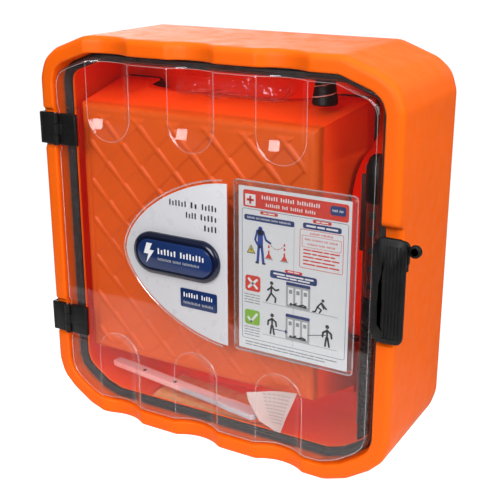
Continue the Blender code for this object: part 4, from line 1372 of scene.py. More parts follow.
@dataclass
class InstructionCard:
    """The A4 card: white board with printed panels, pictograms and rows of text bars."""

    corner: float = 0.0015

    def build(self) -> None:
        """Make the board and its print."""
        span = Span.of("instruction_card")
        outline = oblong((span.middle.x, span.middle.z), (span.size.x, span.size.z), self.corner, 3)
        add_piece("card_board", prism(outline, span.low.y, span.high.y), Finish.card, Body.CARD,
                ["instruction_card"], smooth=False)
        art = Artwork("card_print", Body.CARD, span.low.y)
        self._header(art)
        self._protect(art)
        self._rescue(art)
        self._notes(art)
        art.build("card_print")

    @staticmethod
    def _header(art: Artwork) -> None:
        """Print the red header, its cross and its title bars."""
        art.bar(Ink.RED, 80, 276, 111, 141, 4)
        art.bar(Ink.WHITE, 84, 104, 114, 134, 1, 1)
        art.bar(Ink.RED, 92, 96, 117, 131, 0.4, 2)
        art.bar(Ink.RED, 87, 101, 122, 126, 0.4, 2)
        art.words(Ink.WHITE, 116, 226, 128, 135, (6, 5, 8), 1)
        art.words(Ink.WHITE, 124, 218, 116, 122, (7, 3, 6, 5), 1)
        art.bar(Ink.NAVY, 243, 271, 120, 136, 4, 1)
        art.words(Ink.WHITE, 247, 267, 126, 130, (4, 3), 2)

    @staticmethod
    def _protect(art: Artwork) -> None:
        """Print the upper panels: the worker with the barrier, and the emergency box."""
        art.frame(Ink.NAVY, 78, 276, -130, 108, 0.7, 4)
        art.bar(Ink.STEEL, 177.7, 178.3, -128, 96, 0.2)
        for x in (130, 229):
            art.bar(Ink.RED, x - 17, x + 17, 101.5, 107, 2.6, 1)
            art.words(Ink.WHITE, x - 11, x + 11, 103.3, 105.3, (3, 5), 2)
        art.bar(Ink.NAVY, 82, 178, 88, 98, 3.5)
        art.words(Ink.WHITE, 88, 172, 91.5, 94.8, (5, 2, 6, 4, 7), 1)
        art.bar(Ink.NAVY, 194, 264, 90, 100, 3.5)
        art.words(Ink.WHITE, 200, 258, 93.4, 96.6, (5, 4, 6), 1)
        art.bar(Ink.DARK, 108, 119, 64, 70, 2.5)
        art.add(Ink.BLUE, disc((113.5, 75.5), 4.2, 20))
        art.stroke(Ink.BLUE, [(108, 71), (119, 71)], 5.2)
        art.stroke(Ink.BLUE, [(113.5, 70), (113.5, 46)], 10.5)
        art.stroke(Ink.BLUE, [(107, 69), (103.5, 55), (108, 47)], 3.8)
        art.stroke(Ink.BLUE, [(120, 69), (124.5, 57), (133, 53)], 3.8)
        art.stroke(Ink.BLUE, [(110.5, 44), (108.5, 16)], 5.0)
        art.stroke(Ink.BLUE, [(116.5, 44), (119.5, 16)], 5.0)
        art.bar(Ink.DARK, 104, 111, 12.5, 16, 1.2)
        art.bar(Ink.DARK, 117, 124, 12.5, 16, 1.2)
        for x in (130, 160):
            art.bar(Ink.RED, x - 1.5, x + 1.5, 33, 56, 0.8)
            art.bar(Ink.WHITE, x - 1.5, x + 1.5, 40, 44, 0.2, 1)
            art.bar(Ink.WHITE, x - 1.5, x + 1.5, 49, 52, 0.2, 1)
            art.add(Ink.RED, [(x - 6, 26), (x + 6, 26), (x + 2, 33), (x - 2, 33)])
            art.bar(Ink.STEEL, x - 8, x + 8, 23.5, 26, 0.8)
        for k in range(9):
            x = 132 + k * 3.3
            z = 53 - 9 * math.sin(math.pi * (k + 0.5) / 9)
            art.add(Ink.RED if k % 2 else Ink.STEEL, disc((x, z), 1.15, 12))
        art.add(Ink.YELLOW, [(88, 30), (103, 30), (95.5, 44)])
        art.frame(Ink.DARK, 88, 103, 29.5, 30.5, 0.6, 0.2, 1)
        art.stroke(Ink.DARK, [(88, 30), (95.5, 44), (103, 30)], 1.0, 1)
        art.add(Ink.DARK, [(96.5, 40), (93.2, 35.4), (95.6, 35.6), (94.4, 31.8), (98.0, 36.4),
                (95.8, 36.2)], 1)
        art.frame(Ink.RED, 189, 268, 21, 88, 0.9, 3)
        art.frame(Ink.RED, 193, 264, 58, 78, 0.7, 1.5)
        art.words(Ink.RED, 208, 250, 80.5, 84.5, (4, 5))
        art.words(Ink.RED, 198, 259, 70, 73.5, (3, 5, 2, 4))
        art.words(Ink.RED, 203, 254, 62, 65.5, (5, 3, 4))
        for row, lengths in enumerate(((4, 6, 3, 5), (5, 3, 7, 3), (6, 4, 4, 4), (3, 5, 6), (5, 5, 4))):
            z = 52 - row * 6.2
            art.words(Ink.RED, 195, 262 - (row % 2) * 8, z, z + 2.4, lengths)

    @staticmethod
    def _rescue(art: Artwork) -> None:
        """Print the lower panels: wrong and right ways to reach a person near live parts."""
        art.bar(Ink.RED, 161.5, 194.5, 6.2, 11.4, 2.5, 1)
        art.words(Ink.WHITE, 167, 189, 8, 9.9, (4, 4), 2)
        art.bar(Ink.NAVY, 133, 222, -8, 6, 4)
        art.words(Ink.WHITE, 139, 216, -0.6, 2.4, (4, 6, 3), 1)
        art.words(Ink.WHITE, 146, 209, -5.2, -2.6, (5, 3, 5), 1)
        art.bar(Ink.RED, 84, 114, -40, -11, 5)
        art.stroke(Ink.WHITE, [(91, -33), (107, -18)], 4.4, 1)
        art.stroke(Ink.WHITE, [(91, -18), (107, -33)], 4.4, 1)
        art.bar(Ink.GREEN, 83, 113, -103, -75, 5)
        art.stroke(Ink.WHITE, [(90, -90), (96, -97), (107, -82)], 4.4, 1)
        for top, bottom in ((-10, -55), (-68, -115)):
            art.bar(Ink.STEEL, 164, 210, bottom, top, 1.5)
            art.bar(Ink.NAVY, 164, 210, top - 5.5, top, 1.5, 1)
            for k in range(3):
                art.bar(Ink.WHITE, 168 + k * 14, 178 + k * 14, bottom + 5, top - 9, 0.6, 1)
                art.bar(Ink.GREY, 170 + k * 14, 176 + k * 14, top - 20, top - 13, 0.4, 2)
            art.person(Ink.DARK, 174, bottom + 3, 30, LYING, 3)
            art.stroke(Ink.GREY, [(119, bottom - 1), (262, bottom - 1)], 0.8)
        art.person(Ink.DARK, 214, -55, 33, KNEELING)
        art.person(Ink.DARK, 116, -54, 40, WALKING)
        art.person(Ink.DARK, 222, -114, 42, STANDING)
        art.stroke(Ink.DARK, [(205, -100), (240, -92)], 1.2)
        art.person(Ink.DARK, 117, -114, 41, STANDING)
        art.stroke(Ink.NAVY, [(142, -102), (163, -102)], 1.4)
        art.add(Ink.NAVY, [(163, -106), (170, -102), (163, -98)])

    @staticmethod
    def _notes(art: Artwork) -> None:
        """Print the small grey rows at the foot of each panel."""
        rows = ((-47.5, (4, 6, 3)), (-52.5, (5, 4, 4)), (-57.5, (3, 5, 5)), (-62.5, (6, 3)))
        for z, lengths in rows:
            art.words(Ink.GREY, 82, 113, z, z + 1.7, lengths)
            art.words(Ink.GREY, 82, 113, z - 61.5, z - 59.8, lengths)
        for row, (left, right) in enumerate(((84, 262), (84, 240))):
            z = -137.5 - row * 5.2
            art.words(Ink.GREY, left, right, z, z + 2.0, (6, 4, 8, 3, 7, 5, 9, 4, 6, 8))


@dataclass
class CardPocket:
    """Clear pocket on the door: two sheets welded along three sides, held by rivets."""

    corner: float = 0.008
    front_sheet: float = 0.0006
    highlight_bead: float = 0.0011

    def build(self) -> None:
        """Make the sheets, a whitish tube along the welded edge as a painted highlight line, and the rivets.
        """
        span = Span.of("card_pocket")
        centre = (span.middle.x, span.middle.z)
        size = (span.size.x, span.size.z)
        outline = oblong(centre, size, self.corner)
        solids = [prism(outline, span.low.y, span.low.y + self.front_sheet),
                prism(outline, span.high.y - 0.0012, span.high.y)]
        add_piece("pocket_sheets", merged(*solids), Finish.pocket, Body.DOOR, ["card_pocket"])
        edge = oblong(centre, (size[0] - 0.002, size[1] - 0.002), self.corner, 8)
        path = upright(edge, (span.low.y + span.high.y) / 2)
        add_piece("pocket_weld_highlight", tube_along(path, self.highlight_bead, closed=True), Finish.highlight_bead, Body.DOOR)
        for number in range(1, 5):
            node = f"pocket_rivet_{number}"
            rivet = Span.of(node)
            solid = turned([(0, 0.002), (0.0030, 0.002), (0.0032, 0.0014), (0.0026, 0.0006),
                    (0.0014, 0.0001), (0, 0)],
                    (rivet.middle.x, rivet.low.y, rivet.middle.z), "Y", 20)
            bmesh.ops.scale(solid, verts=solid.verts, vec=(1, -1, 1),
                    space=Matrix.Translation((0, -rivet.middle.y, 0)))
            bmesh.ops.recalc_face_normals(solid, faces=solid.faces)
            add_piece(f"{node}_head", solid, Finish.red_rivet, Body.DOOR, [node])


@dataclass
class Label:
    """Light D-shaped plate with text bars, a moulded bead in a whitish finish that is partly a painted
    highlight, the badge and the voltage tag.
    """

    right: float = 0.046
    top: float = 0.144
    bottom: float = -0.156
    tip: float = -0.173
    bow: float = 1.7
    fullness: float = 0.6

    def outline(self, grow: float = 0.0, steps: int = 48) -> list[Point2]:
        """Return the plate's outline in metres.

        Args:
            grow: how far it stands outside the plate.
            steps: points along the curve.

        Returns:
            Points from the top right round the curve to the bottom right.
        """
        middle, half = (self.top + self.bottom) / 2, (self.top - self.bottom) / 2 + grow
        points = []
        for k in range(steps + 1):
            v = math.cos(math.pi * k / steps)
            reach = (1 - abs(v) ** self.bow) ** self.fullness
            points.append((self.right - (self.right - self.tip + grow) * reach, MID_Z + middle + half * v))
        return points

    def build(self) -> None:
        """Make the plate, its bead, the badge and the tag."""
        span = Span.of("label_plate")
        plate = prism(self.outline(), span.low.y, span.high.y, 0.0009, 2)
        add_piece("label_board", plate, Finish.plate, Body.DOOR, ["label_plate"])
        # The bead is a real moulded step, drawn in the whitish edge finish as a painted highlight line.
        path = upright(self.outline(0.0055, 72)[2:-2], DOOR_FACE - 0.0002)
        add_piece("label_bead_highlight", tube_along(path, 0.0016), Finish.highlight_bead, Body.DOOR)
        art = Artwork("label_print", Body.DOOR, span.low.y)
        art.words(Ink.DARK, -73, 29, 91, 102, (7, 3, 6))
        art.words(Ink.DARK, -38, 29, 72, 83, (4, 6))
        art.words(Ink.DARK, 0, 29, 53, 64, (5,))
        art.build("label_grey")
        self._badge()
        self._tag()

    @staticmethod
    def _badge() -> None:
        """Make the bevelled pill badge with a generic bolt and bars."""
        span, face = Span.of("badge_body"), Span.of("badge_face")
        centre = (span.middle.x, span.middle.z)
        rise = span.high.y - span.low.y

        def pill(box: Span, inset: float, y: float) -> list[Vector]:
            """Return the pill outline of a box, moved in, at a depth."""
            size = (box.size.x - 2 * inset, box.size.z - 2 * inset)
            return upright(oblong(centre, size, size[1] / 2 - 0.0005, 14), y)

        steps = ((0.0, 1.0), (0.0, 0.45), (0.0006, 0.3), (0.0055, 0.06), (0.0065, 0.01), (0.0080, 0.0))
        rings = [pill(span, inset, span.low.y + rise * share) for inset, share in steps]
        add_piece("badge_rim", loft(rings), Finish.rim, Body.DOOR, ["badge_body"], 50)
        steps = ((0.0, face.high.y), (0.0, face.low.y + 0.0005), (0.0010, face.low.y))
        rings = [pill(face, inset, y) for inset, y in steps]
        add_piece("badge_plate", loft(rings), Finish.navy, Body.DOOR, ["badge_face"], 50)
        art = Artwork("badge_print", Body.DOOR, face.low.y)
        bolt = [(-118, 16), (-106, 16), (-112, 3), (-102, 3), (-120, -23), (-115, -5), (-125, -5)]
        art.add(Ink.WHITE, bolt)
        art.words(Ink.WHITE, -94, 8, -2, 9, (4, 5))
        art.words(Ink.STEEL, -94, -4, -14, -9, (5, 3, 6))
        art.build("navy_print")

    @staticmethod
    def _tag() -> None:
        """Make the voltage tag with generic bars."""
        span = Span.of("voltage_tag")
        outline = oblong((span.middle.x, span.middle.z), (span.size.x, span.size.z), 0.003)
        add_piece("tag_plate", prism(outline, span.low.y, span.high.y, 0.0004, 2), Finish.navy, Body.DOOR,
                ["voltage_tag"])
        art = Artwork("tag_print", Body.DOOR, span.low.y)
        art.words(Ink.WHITE, -46, 18, -78, -69, (4, 3))
        art.words(Ink.STEEL, -46, 18, -91, -86, (6, 4))
        art.build("navy_print")


# ---- contents

@dataclass
class Stool:
    """Insulating stool stored on its side: embossed top, rounded skirt with arches, four rubber feet."""

    centre: Point2 = (-0.058, 0.370)
    half: float = 0.250
    corner: float = 0.022
    edge_round: float = 0.012
    spread: float = 0.026
    cells: int = 250
    pitch: float = 0.054
    emboss: float = 0.0024
    arch_half: float = 0.188
    arch_rise: float = 0.095
    wall: float = 0.004

    def emboss_at(self, x: float, z: float) -> float:
        """Return how far the top stands up at a place: tilted tiles between continuous ridges."""
        across = (x - z) / math.sqrt(2) / self.pitch + 0.30
        ridge = (x + z) / math.sqrt(2) / self.pitch + 0.15
        share = across - math.floor(across)
        tile = share * (1 - smooth_step(share, 0.93, 1.0))
        off = abs(ridge - math.floor(ridge) - 0.5)
        band = 1 - smooth_step(off, 0.055, 0.13)
        return max(self.emboss * tile, self.emboss * 1.25 * band)

    def place(self, u: float, v: float) -> Point2:
        """Map a place on a square, from -1 to 1 both ways, to the round-cornered top."""
        a, b = abs(u), abs(v)
        level = max(a, b)
        radius = self.corner / self.half * level
        x, z = a, b
        if a > level - radius and b > level - radius and level > 1e-6:
            t = (b - (level - radius)) / (2 * radius) if a >= b else 1 - (a - (level - radius)) / (2 * radius)
            x = level - radius + radius * math.cos(t * math.pi / 2)
            z = level - radius + radius * math.sin(t * math.pi / 2)
        return math.copysign(x, u), math.copysign(z, v)

    def build(self) -> None:
        """Make the body and the feet."""
        span = Span.of("stool_body")
        top_y, foot_y = span.low.y, span.high.y
        bm = bmesh.new()
        bmesh.ops.create_grid(bm, x_segments=self.cells, y_segments=self.cells, size=1.0)
        flat = self.half - self.edge_round
        for vert in bm.verts:
            u, v = self.place(vert.co.x, vert.co.y)
            x, z = u * flat, v * flat
            fade = 1 - smooth_step(max(abs(x), abs(z)), flat - 0.012, flat - 0.004)
            vert.co = Vector((self.centre[0] + x, top_y - self.emboss_at(x, z) * fade,
                    self.centre[1] + z))
        border = [e for e in bm.edges if e.is_boundary]
        steps: list[tuple[float, float, bool]] = []
        for k in range(1, 7):
            angle = math.pi / 2 * k / 6
            steps.append((self.edge_round * math.sin(angle), self.edge_round * (1 - math.cos(angle)),
                    False))
        steps += [(self.edge_round + self.spread * t, t, True) for t in (0.12, 0.28, 0.46, 0.64, 0.82, 1.0)]
        for out, depth, skirt in steps:
            border, fresh = grow_edge(bm, border)
            self._lower(fresh, out, depth, skirt, top_y, foot_y)
        face_forwards(bm)
        item = add_piece("stool_moulding", bm, Finish.stool, Body.CABINET, ["stool_body"],
                60)
        thick = item.modifiers.new("wall", "SOLIDIFY")
        thick.thickness = self.wall
        thick.offset = -1.0
        self._feet()

    def _lower(self, fresh: list[bmesh.types.BMVert], out: float, depth: float, skirt: bool, top_y: float,
            foot_y: float) -> None:
        """Place one ring of the stool's edge or skirt.

        Args:
            fresh: the ring's points.
            out: how far it stands outside the flat top.
            depth: its depth in metres, or its share of the skirt's own depth.
            skirt: whether depth is a share.
            top_y: where the top lies.
            foot_y: where the skirt ends.
        """
        flat = self.half - self.edge_round
        for vert in fresh:
            x, z = vert.co.x - self.centre[0], vert.co.z - self.centre[1]
            level = max(abs(x), abs(z))
            ratio = (flat + out) / level
            x, z = x * ratio, z * ratio
            vert.co.x, vert.co.z = self.centre[0] + x, self.centre[1] + z
            if skirt:
                begin = top_y + self.edge_round
                end = foot_y - self._arch(min(abs(x), abs(z)))
                vert.co.y = begin + (end - begin) * depth
            else:
                vert.co.y = top_y + depth

    def _arch(self, along: float) -> float:
        """Return how far the skirt's edge is cut back at a distance from the side's middle."""
        if along >= self.arch_half:
            return 0.0
        return self.arch_rise * (1 - (along / self.arch_half) ** 4) ** 0.5

    @staticmethod
    def _feet() -> None:
        """Make the four rubber feet, each with a collar."""
        for level in ("lower", "upper"):
            for side in ("left", "right"):
                node = f"stool_foot_{level}_{side}"
                span = Span.of(node)
                centre = (span.middle.x, span.middle.z)
                rings = []
                for y, inset, radius in ((span.low.y, 0.003, 0.016), (span.low.y + 0.001, 0.001, 0.018),
                        (span.low.y + 0.006, 0.0, 0.018),
                        (span.low.y + 0.0075, 0.002, 0.017),
                        (span.high.y - 0.006, 0.0045, 0.016),
                        (span.high.y - 0.001, 0.0052, 0.015),
                        (span.high.y, 0.0065, 0.014)):
                    size = (span.size.x - 2 * inset, span.size.z - 2 * inset)
                    rings.append(upright(oblong(centre, size, radius, 8), y))
                add_piece(f"{node}_shoe", loft(rings), Finish.rubber, Body.CABINET, [node])


@dataclass
class SoftBag:
    """A clear film bag: a rounded skin with folds and creases."""

    node: str
    fold: float = 0.006
    scale: float = 16.0
    seed: float = 0.0
    shrink: float = 0.004
    short: float = 0.0

    def build(self) -> None:
        """Make the bag's skin."""
        span = Span.of(self.node)
        low, high = span.low + Vector((1, 1, 1)) * self.shrink, span.high - Vector((1, 1, 1)) * self.shrink
        high.x -= span.size.x * self.short
        bm = block(low, high, min(span.size) * 0.32, 4)
        bmesh.ops.subdivide_edges(bm, edges=[e for e in bm.edges if e.calc_length() > 0.02], cuts=9,
                use_grid_fill=True)
        bmesh.ops.subdivide_edges(bm, edges=bm.edges[:], cuts=1, use_grid_fill=True)
        crumple(bm, self.fold, self.scale, self.seed)
        crumple(bm, self.fold * 0.35, self.scale * 3.1, self.seed + 4)
        keep_inside(bm, span)
        add_piece(f"{self.node}_film", bm, Finish.film, Body.CABINET, [self.node], 180)


@dataclass
class Gloves:
    """The pair of insulating gauntlets: long cuffs with a rolled bead and four fingers."""

    voxel: float = 0.0028

    def build(self) -> None:
        """Make both gloves, one lying on the other."""
        for node, mirror in (("glove_left", 1), ("glove_right", -1)):
            self._glove(node, mirror)

    def _glove(self, node: str, mirror: int) -> None:
        """Make one glove inside its node's box.

        Args:
            node: the CAD node that it stands for.
            mirror: 1 or -1, which way the fingers are laid out.
        """
        span = Span.of(node)
        y, z, half = span.middle.y, span.middle.z, span.size.z / 2 - 0.001
        x0 = span.low.x
        end = span.high.x
        solids = [self._limb([(x0 + 0.002, 0.0585), (x0 + 0.004, 0.0595), (x0 + 0.012, 0.0570),
                (x0 + 0.09, 0.053),
                (end - 0.045, 0.049), (end - 0.008, 0.046), (end, 0.040)], y, z, half)]
        for number, offset in enumerate((0.034, 0.012, -0.011, -0.033)):
            solids.append(self._limb([(end - 0.010, 0.0105), (end - 0.060, 0.0100),
                    (end - 0.100 + 0.006 * abs(number - 1), 0.0085),
                    (end - 0.108 + 0.006 * abs(number - 1), 0.004)],
                    y + mirror * offset, z + half * 0.35, half * 0.62))
        item = add_piece(f"{node}_gauntlet", merged(*solids), Finish.latex, Body.CABINET, [node],
                180)
        remesh = item.modifiers.new("skin", "REMESH")
        remesh.mode = "VOXEL"
        remesh.voxel_size = self.voxel
        remesh.use_smooth_shade = True
        relax = item.modifiers.new("relax", "SMOOTH")
        relax.iterations = 4

    @staticmethod
    def _limb(stations: Sequence[Point2], y: float, z: float, half: float) -> Mesh:
        """Return a flattened round limb along X, from stations of place and half width."""
        rings = []
        for x, width in stations:
            rings.append([Vector((x, y + width * math.cos(a), z + half * math.sin(a)))
                    for a in (2 * math.pi * k / 20 for k in range(20))])
        return loft(rings)


@dataclass
class SmallParts:
    """The loose pieces: splint strip, leaflet, detector, pouch and earthing clamp."""

    def build(self) -> None:
        """Make each of them."""
        self._strip()
        self._leaflet()
        self._detector()
        self._pouch()
        self._clamp()

    @staticmethod
    def _strip() -> None:
        """Make the white strip with its wide end, and two small black rubber studs that stand for its two
        holes.
        """
        span = Span.of("splint_strip")
        half, width = 0.190, 0.014
        outline = [(-half, -width * 0.7), (-half + 0.010, -width * 0.8), (0.10, -width * 0.8),
                (0.125, -width), (half - 0.006, -width),
                (half, -width + 0.006), (half, width - 0.006), (half - 0.006, width), (0.125, width),
                (0.10, width * 0.8),
                (-half + 0.010, width * 0.8), (-half, width * 0.7)]
        bm = prism(outline, -0.006, 0.006, 0.0025)
        turn = Matrix.Translation(span.middle) @ Matrix.Rotation(math.radians(-9), 4, "Z") \
            @ Matrix.Rotation(math.radians(90), 4, "X")
        bmesh.ops.transform(bm, verts=bm.verts, matrix=turn)
        add_piece("strip_body", bm, Finish.white, Body.CABINET, ["splint_strip"])
        for number, along in enumerate((-0.105, -0.020), 1):
            stud = turned([(0, -0.001), (0.0036, -0.001), (0.0040, 0.0002), (0.0030, 0.0012), (0, 0.0014)],
                    (0, 0, 0), "Z", 18)
            spot = turn @ Vector((along, -0.006, 0.002))
            bmesh.ops.translate(stud, verts=stud.verts, vec=(spot.x, spot.y, span.high.z))
            add_piece(f"strip_stud_{number}", stud, Finish.rubber, Body.CABINET)

    @staticmethod
    def _ripple(x: float, z: float) -> float:
        """Return how far the leaflet's paper bows at a place."""
        return 0.0030 * math.cos(x * 52) + 0.0018 * math.sin(z * 75 + x * 30)

    def _leaflet(self) -> None:
        """Make the folded leaflet, standing on its pointed corner, with printed rows."""
        span = Span.of("leaflet")
        y = span.middle.y
        corners = [Vector((x, y, z)) for x, z in
                ((0.067, 0.118), (0.170, 0.140), (0.132, 0.0430), (0.090, 0.062), (0.070, 0.100))]
        bm = bmesh.new()
        bmesh.ops.create_grid(bm, x_segments=26, y_segments=26, size=0.060,
                matrix=Matrix.Translation((span.middle.x, y,
                0.105)) @ Matrix.Rotation(math.radians(90), 4,
                "X"))
        trim_to(bm, corners)
        for vert in bm.verts:
            vert.co.y += self._ripple(vert.co.x, vert.co.z)
        bmesh.ops.solidify(bm, geom=bm.faces[:], thickness=0.0009)
        add_piece("leaflet_paper", bm, Finish.paper, Body.CABINET, ["leaflet"], 40)
        rows = []
        for row in range(9):
            z = 0.121 - row * 0.0070
            start, end = 0.098 + row * 0.0022, 0.158 - row * 0.0024
            for k in range(6):
                low, high = start + (end - start) * k / 6, start + (end - start) * (k + 0.72) / 6
                tilt = 0.10 * (low - start)
                bow = y + self._ripple((low + high) / 2, z + tilt) - 0.0013
                rows.append(block((low, bow, z + tilt), (high, bow + 0.0005, z + tilt + 0.0013), 0.0001, 1))
        add_piece("leaflet_rows", merged(*rows), INKS[Ink.STEEL], Body.CABINET)

    @staticmethod
    def _detector() -> None:
        """Make the voltage detector: ribbed handle, tube with dark windows, cap."""
        handle, tube, cap = Span.of("detector_handle"), Span.of("detector_tube"), Span.of("detector_cap")
        centre = (handle.middle.x, handle.middle.y, 0)
        profile: list[Point2] = [(0, handle.low.z), (0.015, handle.low.z), (0.018, handle.low.z + 0.004)]
        height = handle.low.z + 0.012
        while height < handle.high.z - 0.055:
            profile += [(0.0185, height), (0.0185, height + 0.005), (0.0165, height + 0.0065),
                    (0.0165, height + 0.0095)]
            height += 0.011
        profile += [(0.0165, handle.high.z - 0.045), (0.019, handle.high.z - 0.040),
                (0.019, handle.high.z - 0.014),
                (0.0175, handle.high.z - 0.010), (0.0175, handle.high.z), (0, handle.high.z)]
        add_piece("detector_grip", turned(profile, centre), Finish.black, Body.CABINET, ["detector_handle"])
        add_piece("detector_body", turned(rod(0.017, tube.low.z, tube.high.z, 0.001), centre),
                Finish.detector,
                Body.CABINET, ["detector_tube"])
        windows = []
        for k in range(5):
            z = tube.low.z + 0.018 + k * 0.031
            windows.append(block((centre[0] - 0.006, centre[1] - 0.0176, z),
                    (centre[0] + 0.006, centre[1] - 0.0120, z + 0.012), 0.002))
        add_piece("detector_windows", merged(*windows), Finish.rubber, Body.CABINET)
        top = [(0, cap.low.z), (0.018, cap.low.z), (0.0205, cap.low.z + 0.004), (0.021, cap.low.z + 0.040),
                (0.0195, cap.high.z - 0.020),
                (0.015, cap.high.z - 0.006), (0.009, cap.high.z - 0.001), (0, cap.high.z)]
        add_piece("detector_hood", turned(top, centre), Finish.black, Body.CABINET, ["detector_cap"])

    @staticmethod
    def _pouch() -> None:
        """Make the tall cloth pouch with its flap and strap."""
        span = Span.of("equipment_pouch")
        rings = []
        for k in range(25):
            t = k / 24
            z = span.low.z + span.size.z * t
            close = math.sin(math.pi * min(max(t * 1.02, 0.02), 0.98)) ** 0.18
            size = (span.size.x * (0.86 + 0.12 * close) - 0.002,
                    span.size.y * (0.72 + 0.24 * close) - 0.002)
            ring = oblong((span.middle.x, span.middle.y), size, 0.022 * close, 7)
            rings.append([Vector((x, y, z)) for x, y in resample(ring, 64)])
        bm = loft(rings)
        crumple(bm, 0.0022, 14.0, 2.0)
        keep_inside(bm, span)
        add_piece("pouch_cloth_body", bm, Finish.pouch, Body.CABINET, ["equipment_pouch"],
                70)
        flap = block((span.low.x + 0.004, span.low.y - 0.0005, span.high.z - 0.150),
                (span.high.x - 0.004, span.low.y + 0.006, span.high.z - 0.012), 0.0028)
        strap = block((span.middle.x - 0.013, span.low.y - 0.003, span.low.z + 0.05),
                (span.middle.x + 0.013, span.low.y + 0.003, span.high.z - 0.120), 0.0014)
        add_piece("pouch_flap", merged(flap, strap), Finish.pouch, Body.CABINET)

    @staticmethod
    def _clamp() -> None:
        """Make the tapered clamp with its pale bands."""
        span = Span.of("earthing_clamp")
        centre = (span.middle.x, span.middle.y, 0)
        low, high = span.low.z, span.high.z
        profile = [(0, low), (0.020, low), (0.023, low + 0.003), (0.022, low + 0.012),
                (0.0185, low + 0.034), (0.0150, low + 0.056),
                (0.0125, high - 0.010), (0.0095, high - 0.002), (0, high)]
        add_piece("clamp_body", turned(profile, centre), Finish.black, Body.CABINET, ["earthing_clamp"])
        bands = []
        for start in (0.012, 0.030, 0.048):
            path = []
            for k in range(25):
                angle = -math.pi * 0.95 + math.pi * k / 24 * 1.1
                height = start + 0.012 * k / 24
                radius = 0.0225 - (height - 0.010) * 0.19 if height > 0.010 else 0.0225
                path.append(Vector((centre[0] + radius * math.cos(angle),
                        centre[1] + radius * math.sin(angle), low + height)))
            bands.append(tube_along(path, 0.0008, sides=6))
        add_piece("clamp_bands", merged(*bands), Finish.white, Body.CABINET)


# ---- studio

@dataclass(frozen=True)
class Lamp:
    """A rectangular soft light: where it stands, what it faces, its size, watts and colour."""

    name: str
    place: tuple[float, float, float]
    target: tuple[float, float, float]
    size: Point2
    power: float
    hidden_from: tuple[str, ...] = ()
    colour: Colour = (1.0, 1.0, 1.0)

    def build(self) -> None:
        """Add the light, hidden from the kinds of ray named."""
        data = bpy.data.lights.new(self.name, "AREA")
        data.shape, data.energy, data.color = "RECTANGLE", self.power, self.colour
        data.size, data.size_y = self.size
        lamp = bpy.data.objects.new(self.name, data)
        lamp.location = self.place
        way = Vector(self.target) - Vector(self.place)
        lamp.rotation_euler = way.to_track_quat("-Z", "Y").to_euler()
        bpy.context.scene.collection.objects.link(lamp)
        for kind in self.hidden_from:
            setattr(lamp, f"visible_{kind}", False)


LAMPS = (
    Lamp("key_top", (0.35, -0.55, 2.3), (0.0, 0.0, 0.5), (2.4, 1.8), 30.0, ("glossy",)),
    Lamp("fill_right", (2.6, -1.2, 1.9), (0.2, 0.0, 0.5), (1.6, 1.6), 54.0),
    Lamp("fill_front", (0.2, -2.6, 1.9), (0.0, -0.1, 0.4), (1.4, 1.0), 36.0, ("glossy",)),
    Lamp("window", (0.20, -2.52, 1.22), (-0.1, -0.14, 0.6), (1.15, 1.15), 46.0, ("diffuse",)),
    Lamp("cavity_glow", (0.0, FRONT + 0.070, MID_Z), (0.0, BACK, MID_Z), (0.66, 0.70), 1.05,
    ("camera", "glossy"), (1.0, 0.11, 0.02)),
)


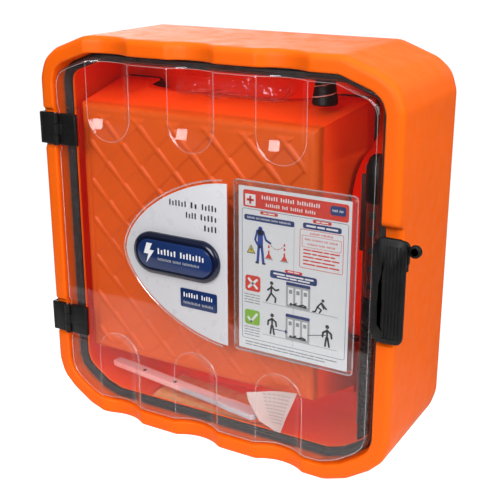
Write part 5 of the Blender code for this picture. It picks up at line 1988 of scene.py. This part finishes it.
@dataclass
class Studio:
    """Pale table, soft lights and the camera."""

    camera_place: Point2 = (0.885, -1.502)
    camera_height: float = 0.945
    aim: tuple[float, float, float] = (0.0865, -0.130, 0.4049)
    lens: float = 69.91
    sensor: float = 36.0
    table_front: float = -0.68
    seen_glow: float = 0.95
    mirrored_glow: float = 0.12
    faint_glow: float = 0.02

    def build(self) -> None:
        """Make the table, the lights, the world and the camera."""
        scene = bpy.context.scene
        scene.view_settings.view_transform = "Standard"
        self._table()
        self._world()
        for lamp in LAMPS:
            lamp.build()
        camera = bpy.data.objects.new("camera", bpy.data.cameras.new("camera"))
        scene.collection.objects.link(camera)
        camera.data.lens = self.lens
        camera.data.sensor_width = self.sensor
        camera.location = (*self.camera_place, self.camera_height)
        look = Vector(self.aim) - camera.location
        camera.rotation_euler = look.to_track_quat("-Z", "Y").to_euler()
        scene.camera = camera

    def _table(self) -> None:
        """Make the pale table top, rounded down at its front edge."""
        bm = bmesh.new()
        front, far, wide = self.table_front, 60.0, 40.0
        path = [(far, 0.0), (2.0, 0.0), (front + 0.02, 0.0), (front + 0.006, -0.004), (front, -0.02),
                (front, -0.4)]
        rings = [[bm.verts.new((x, y, z - 0.0005)) for y, z in path] for x in (-wide, wide)]
        edges = [[bm.edges.new(pair) for pair in zip(ring, ring[1:])] for ring in rings]
        bmesh.ops.bridge_loops(bm, edges=edges[0] + edges[1])
        mesh = bpy.data.meshes.new("studio_table")
        bm.to_mesh(mesh)
        bm.free()
        nodes = Nodes("table_white")
        # Evenly bright for the camera as a backdrop; the extra glow seen only in reflections is a painted
        # reflection, the faint glow for every ray lights the scene though the table is no lamp, and the
        # colour darkens towards the back.
        along = nodes.add("ShaderNodeSeparateXYZ", Vector=nodes.place).outputs["Y"]
        ray = nodes.add("ShaderNodeLightPath").outputs
        glow = nodes.maths("MULTIPLY_ADD", ray["Is Glossy Ray"], self.mirrored_glow, self.faint_glow)
        shader = nodes.add(
            "ShaderNodeBsdfPrincipled", Roughness=0.75, Specular_IOR_Level=0.1, Emission_Color=(1, 1, 1, 1),
            Base_Color=nodes.mapped(along, (-0.10, 0.45), (0.80, 0.12)),
            Emission_Strength=nodes.maths("MULTIPLY_ADD", ray["Is Camera Ray"], self.seen_glow, glow))
        mesh.materials.append(nodes.finish(shader))
        table = bpy.data.objects.new("studio_table", mesh)
        bpy.context.scene.collection.objects.link(table)

    @staticmethod
    def _world() -> None:
        """Give the world a soft light that rises with height, with a bright patch behind on the left."""
        nodes = Nodes("studio", world=True)
        way = nodes.add("ShaderNodeSeparateXYZ", Vector=nodes.place).outputs
        rise = nodes.mapped(way["Z"], (-0.05, 0.35), (0.03, 0.30))
        behind = nodes.mapped(way["Y"], (0.35, 0.75), (0.0, 1.0))
        left = nodes.mapped(way["X"], (-0.62, -0.34), (3.2, 0.5))
        above = nodes.maths("GREATER_THAN", way["Z"], 0.02)
        patch = nodes.maths("MULTIPLY", nodes.maths("MULTIPLY", behind, left), above)
        bpy.context.scene.world = nodes.finish(nodes.add(
            "ShaderNodeBackground", Color=(1.0, 1.0, 1.0, 1), Strength=nodes.maths("MAXIMUM", rise, patch)))


# ---- the whole


def main() -> None:
    """Build every sub-assembly in order, then the studio."""
    logging.basicConfig(level=logging.INFO, format="%(name)s: %(message)s")
    builders = (
        CabinetShell(), Gasket(), DoorPanel(),
        Hinge("upper", ("hinge_nut_1", "hinge_nut_2")), Hinge("lower", ("hinge_nut_3", "hinge_nut_4")),
        Latch(), Label(), CardPocket(), InstructionCard(), Stool(), Gloves(),
        SoftBag("glove_bag", 0.005, 15.0, 1.0), SoftBag("accessory_bag", 0.008, 20.0, 5.0),
        SmallParts(), Studio(),
    )
    for builder in builders:
        LOG.info("building %s", type(builder).__name__)
        builder.build()


if __name__ == "__main__":
    main()
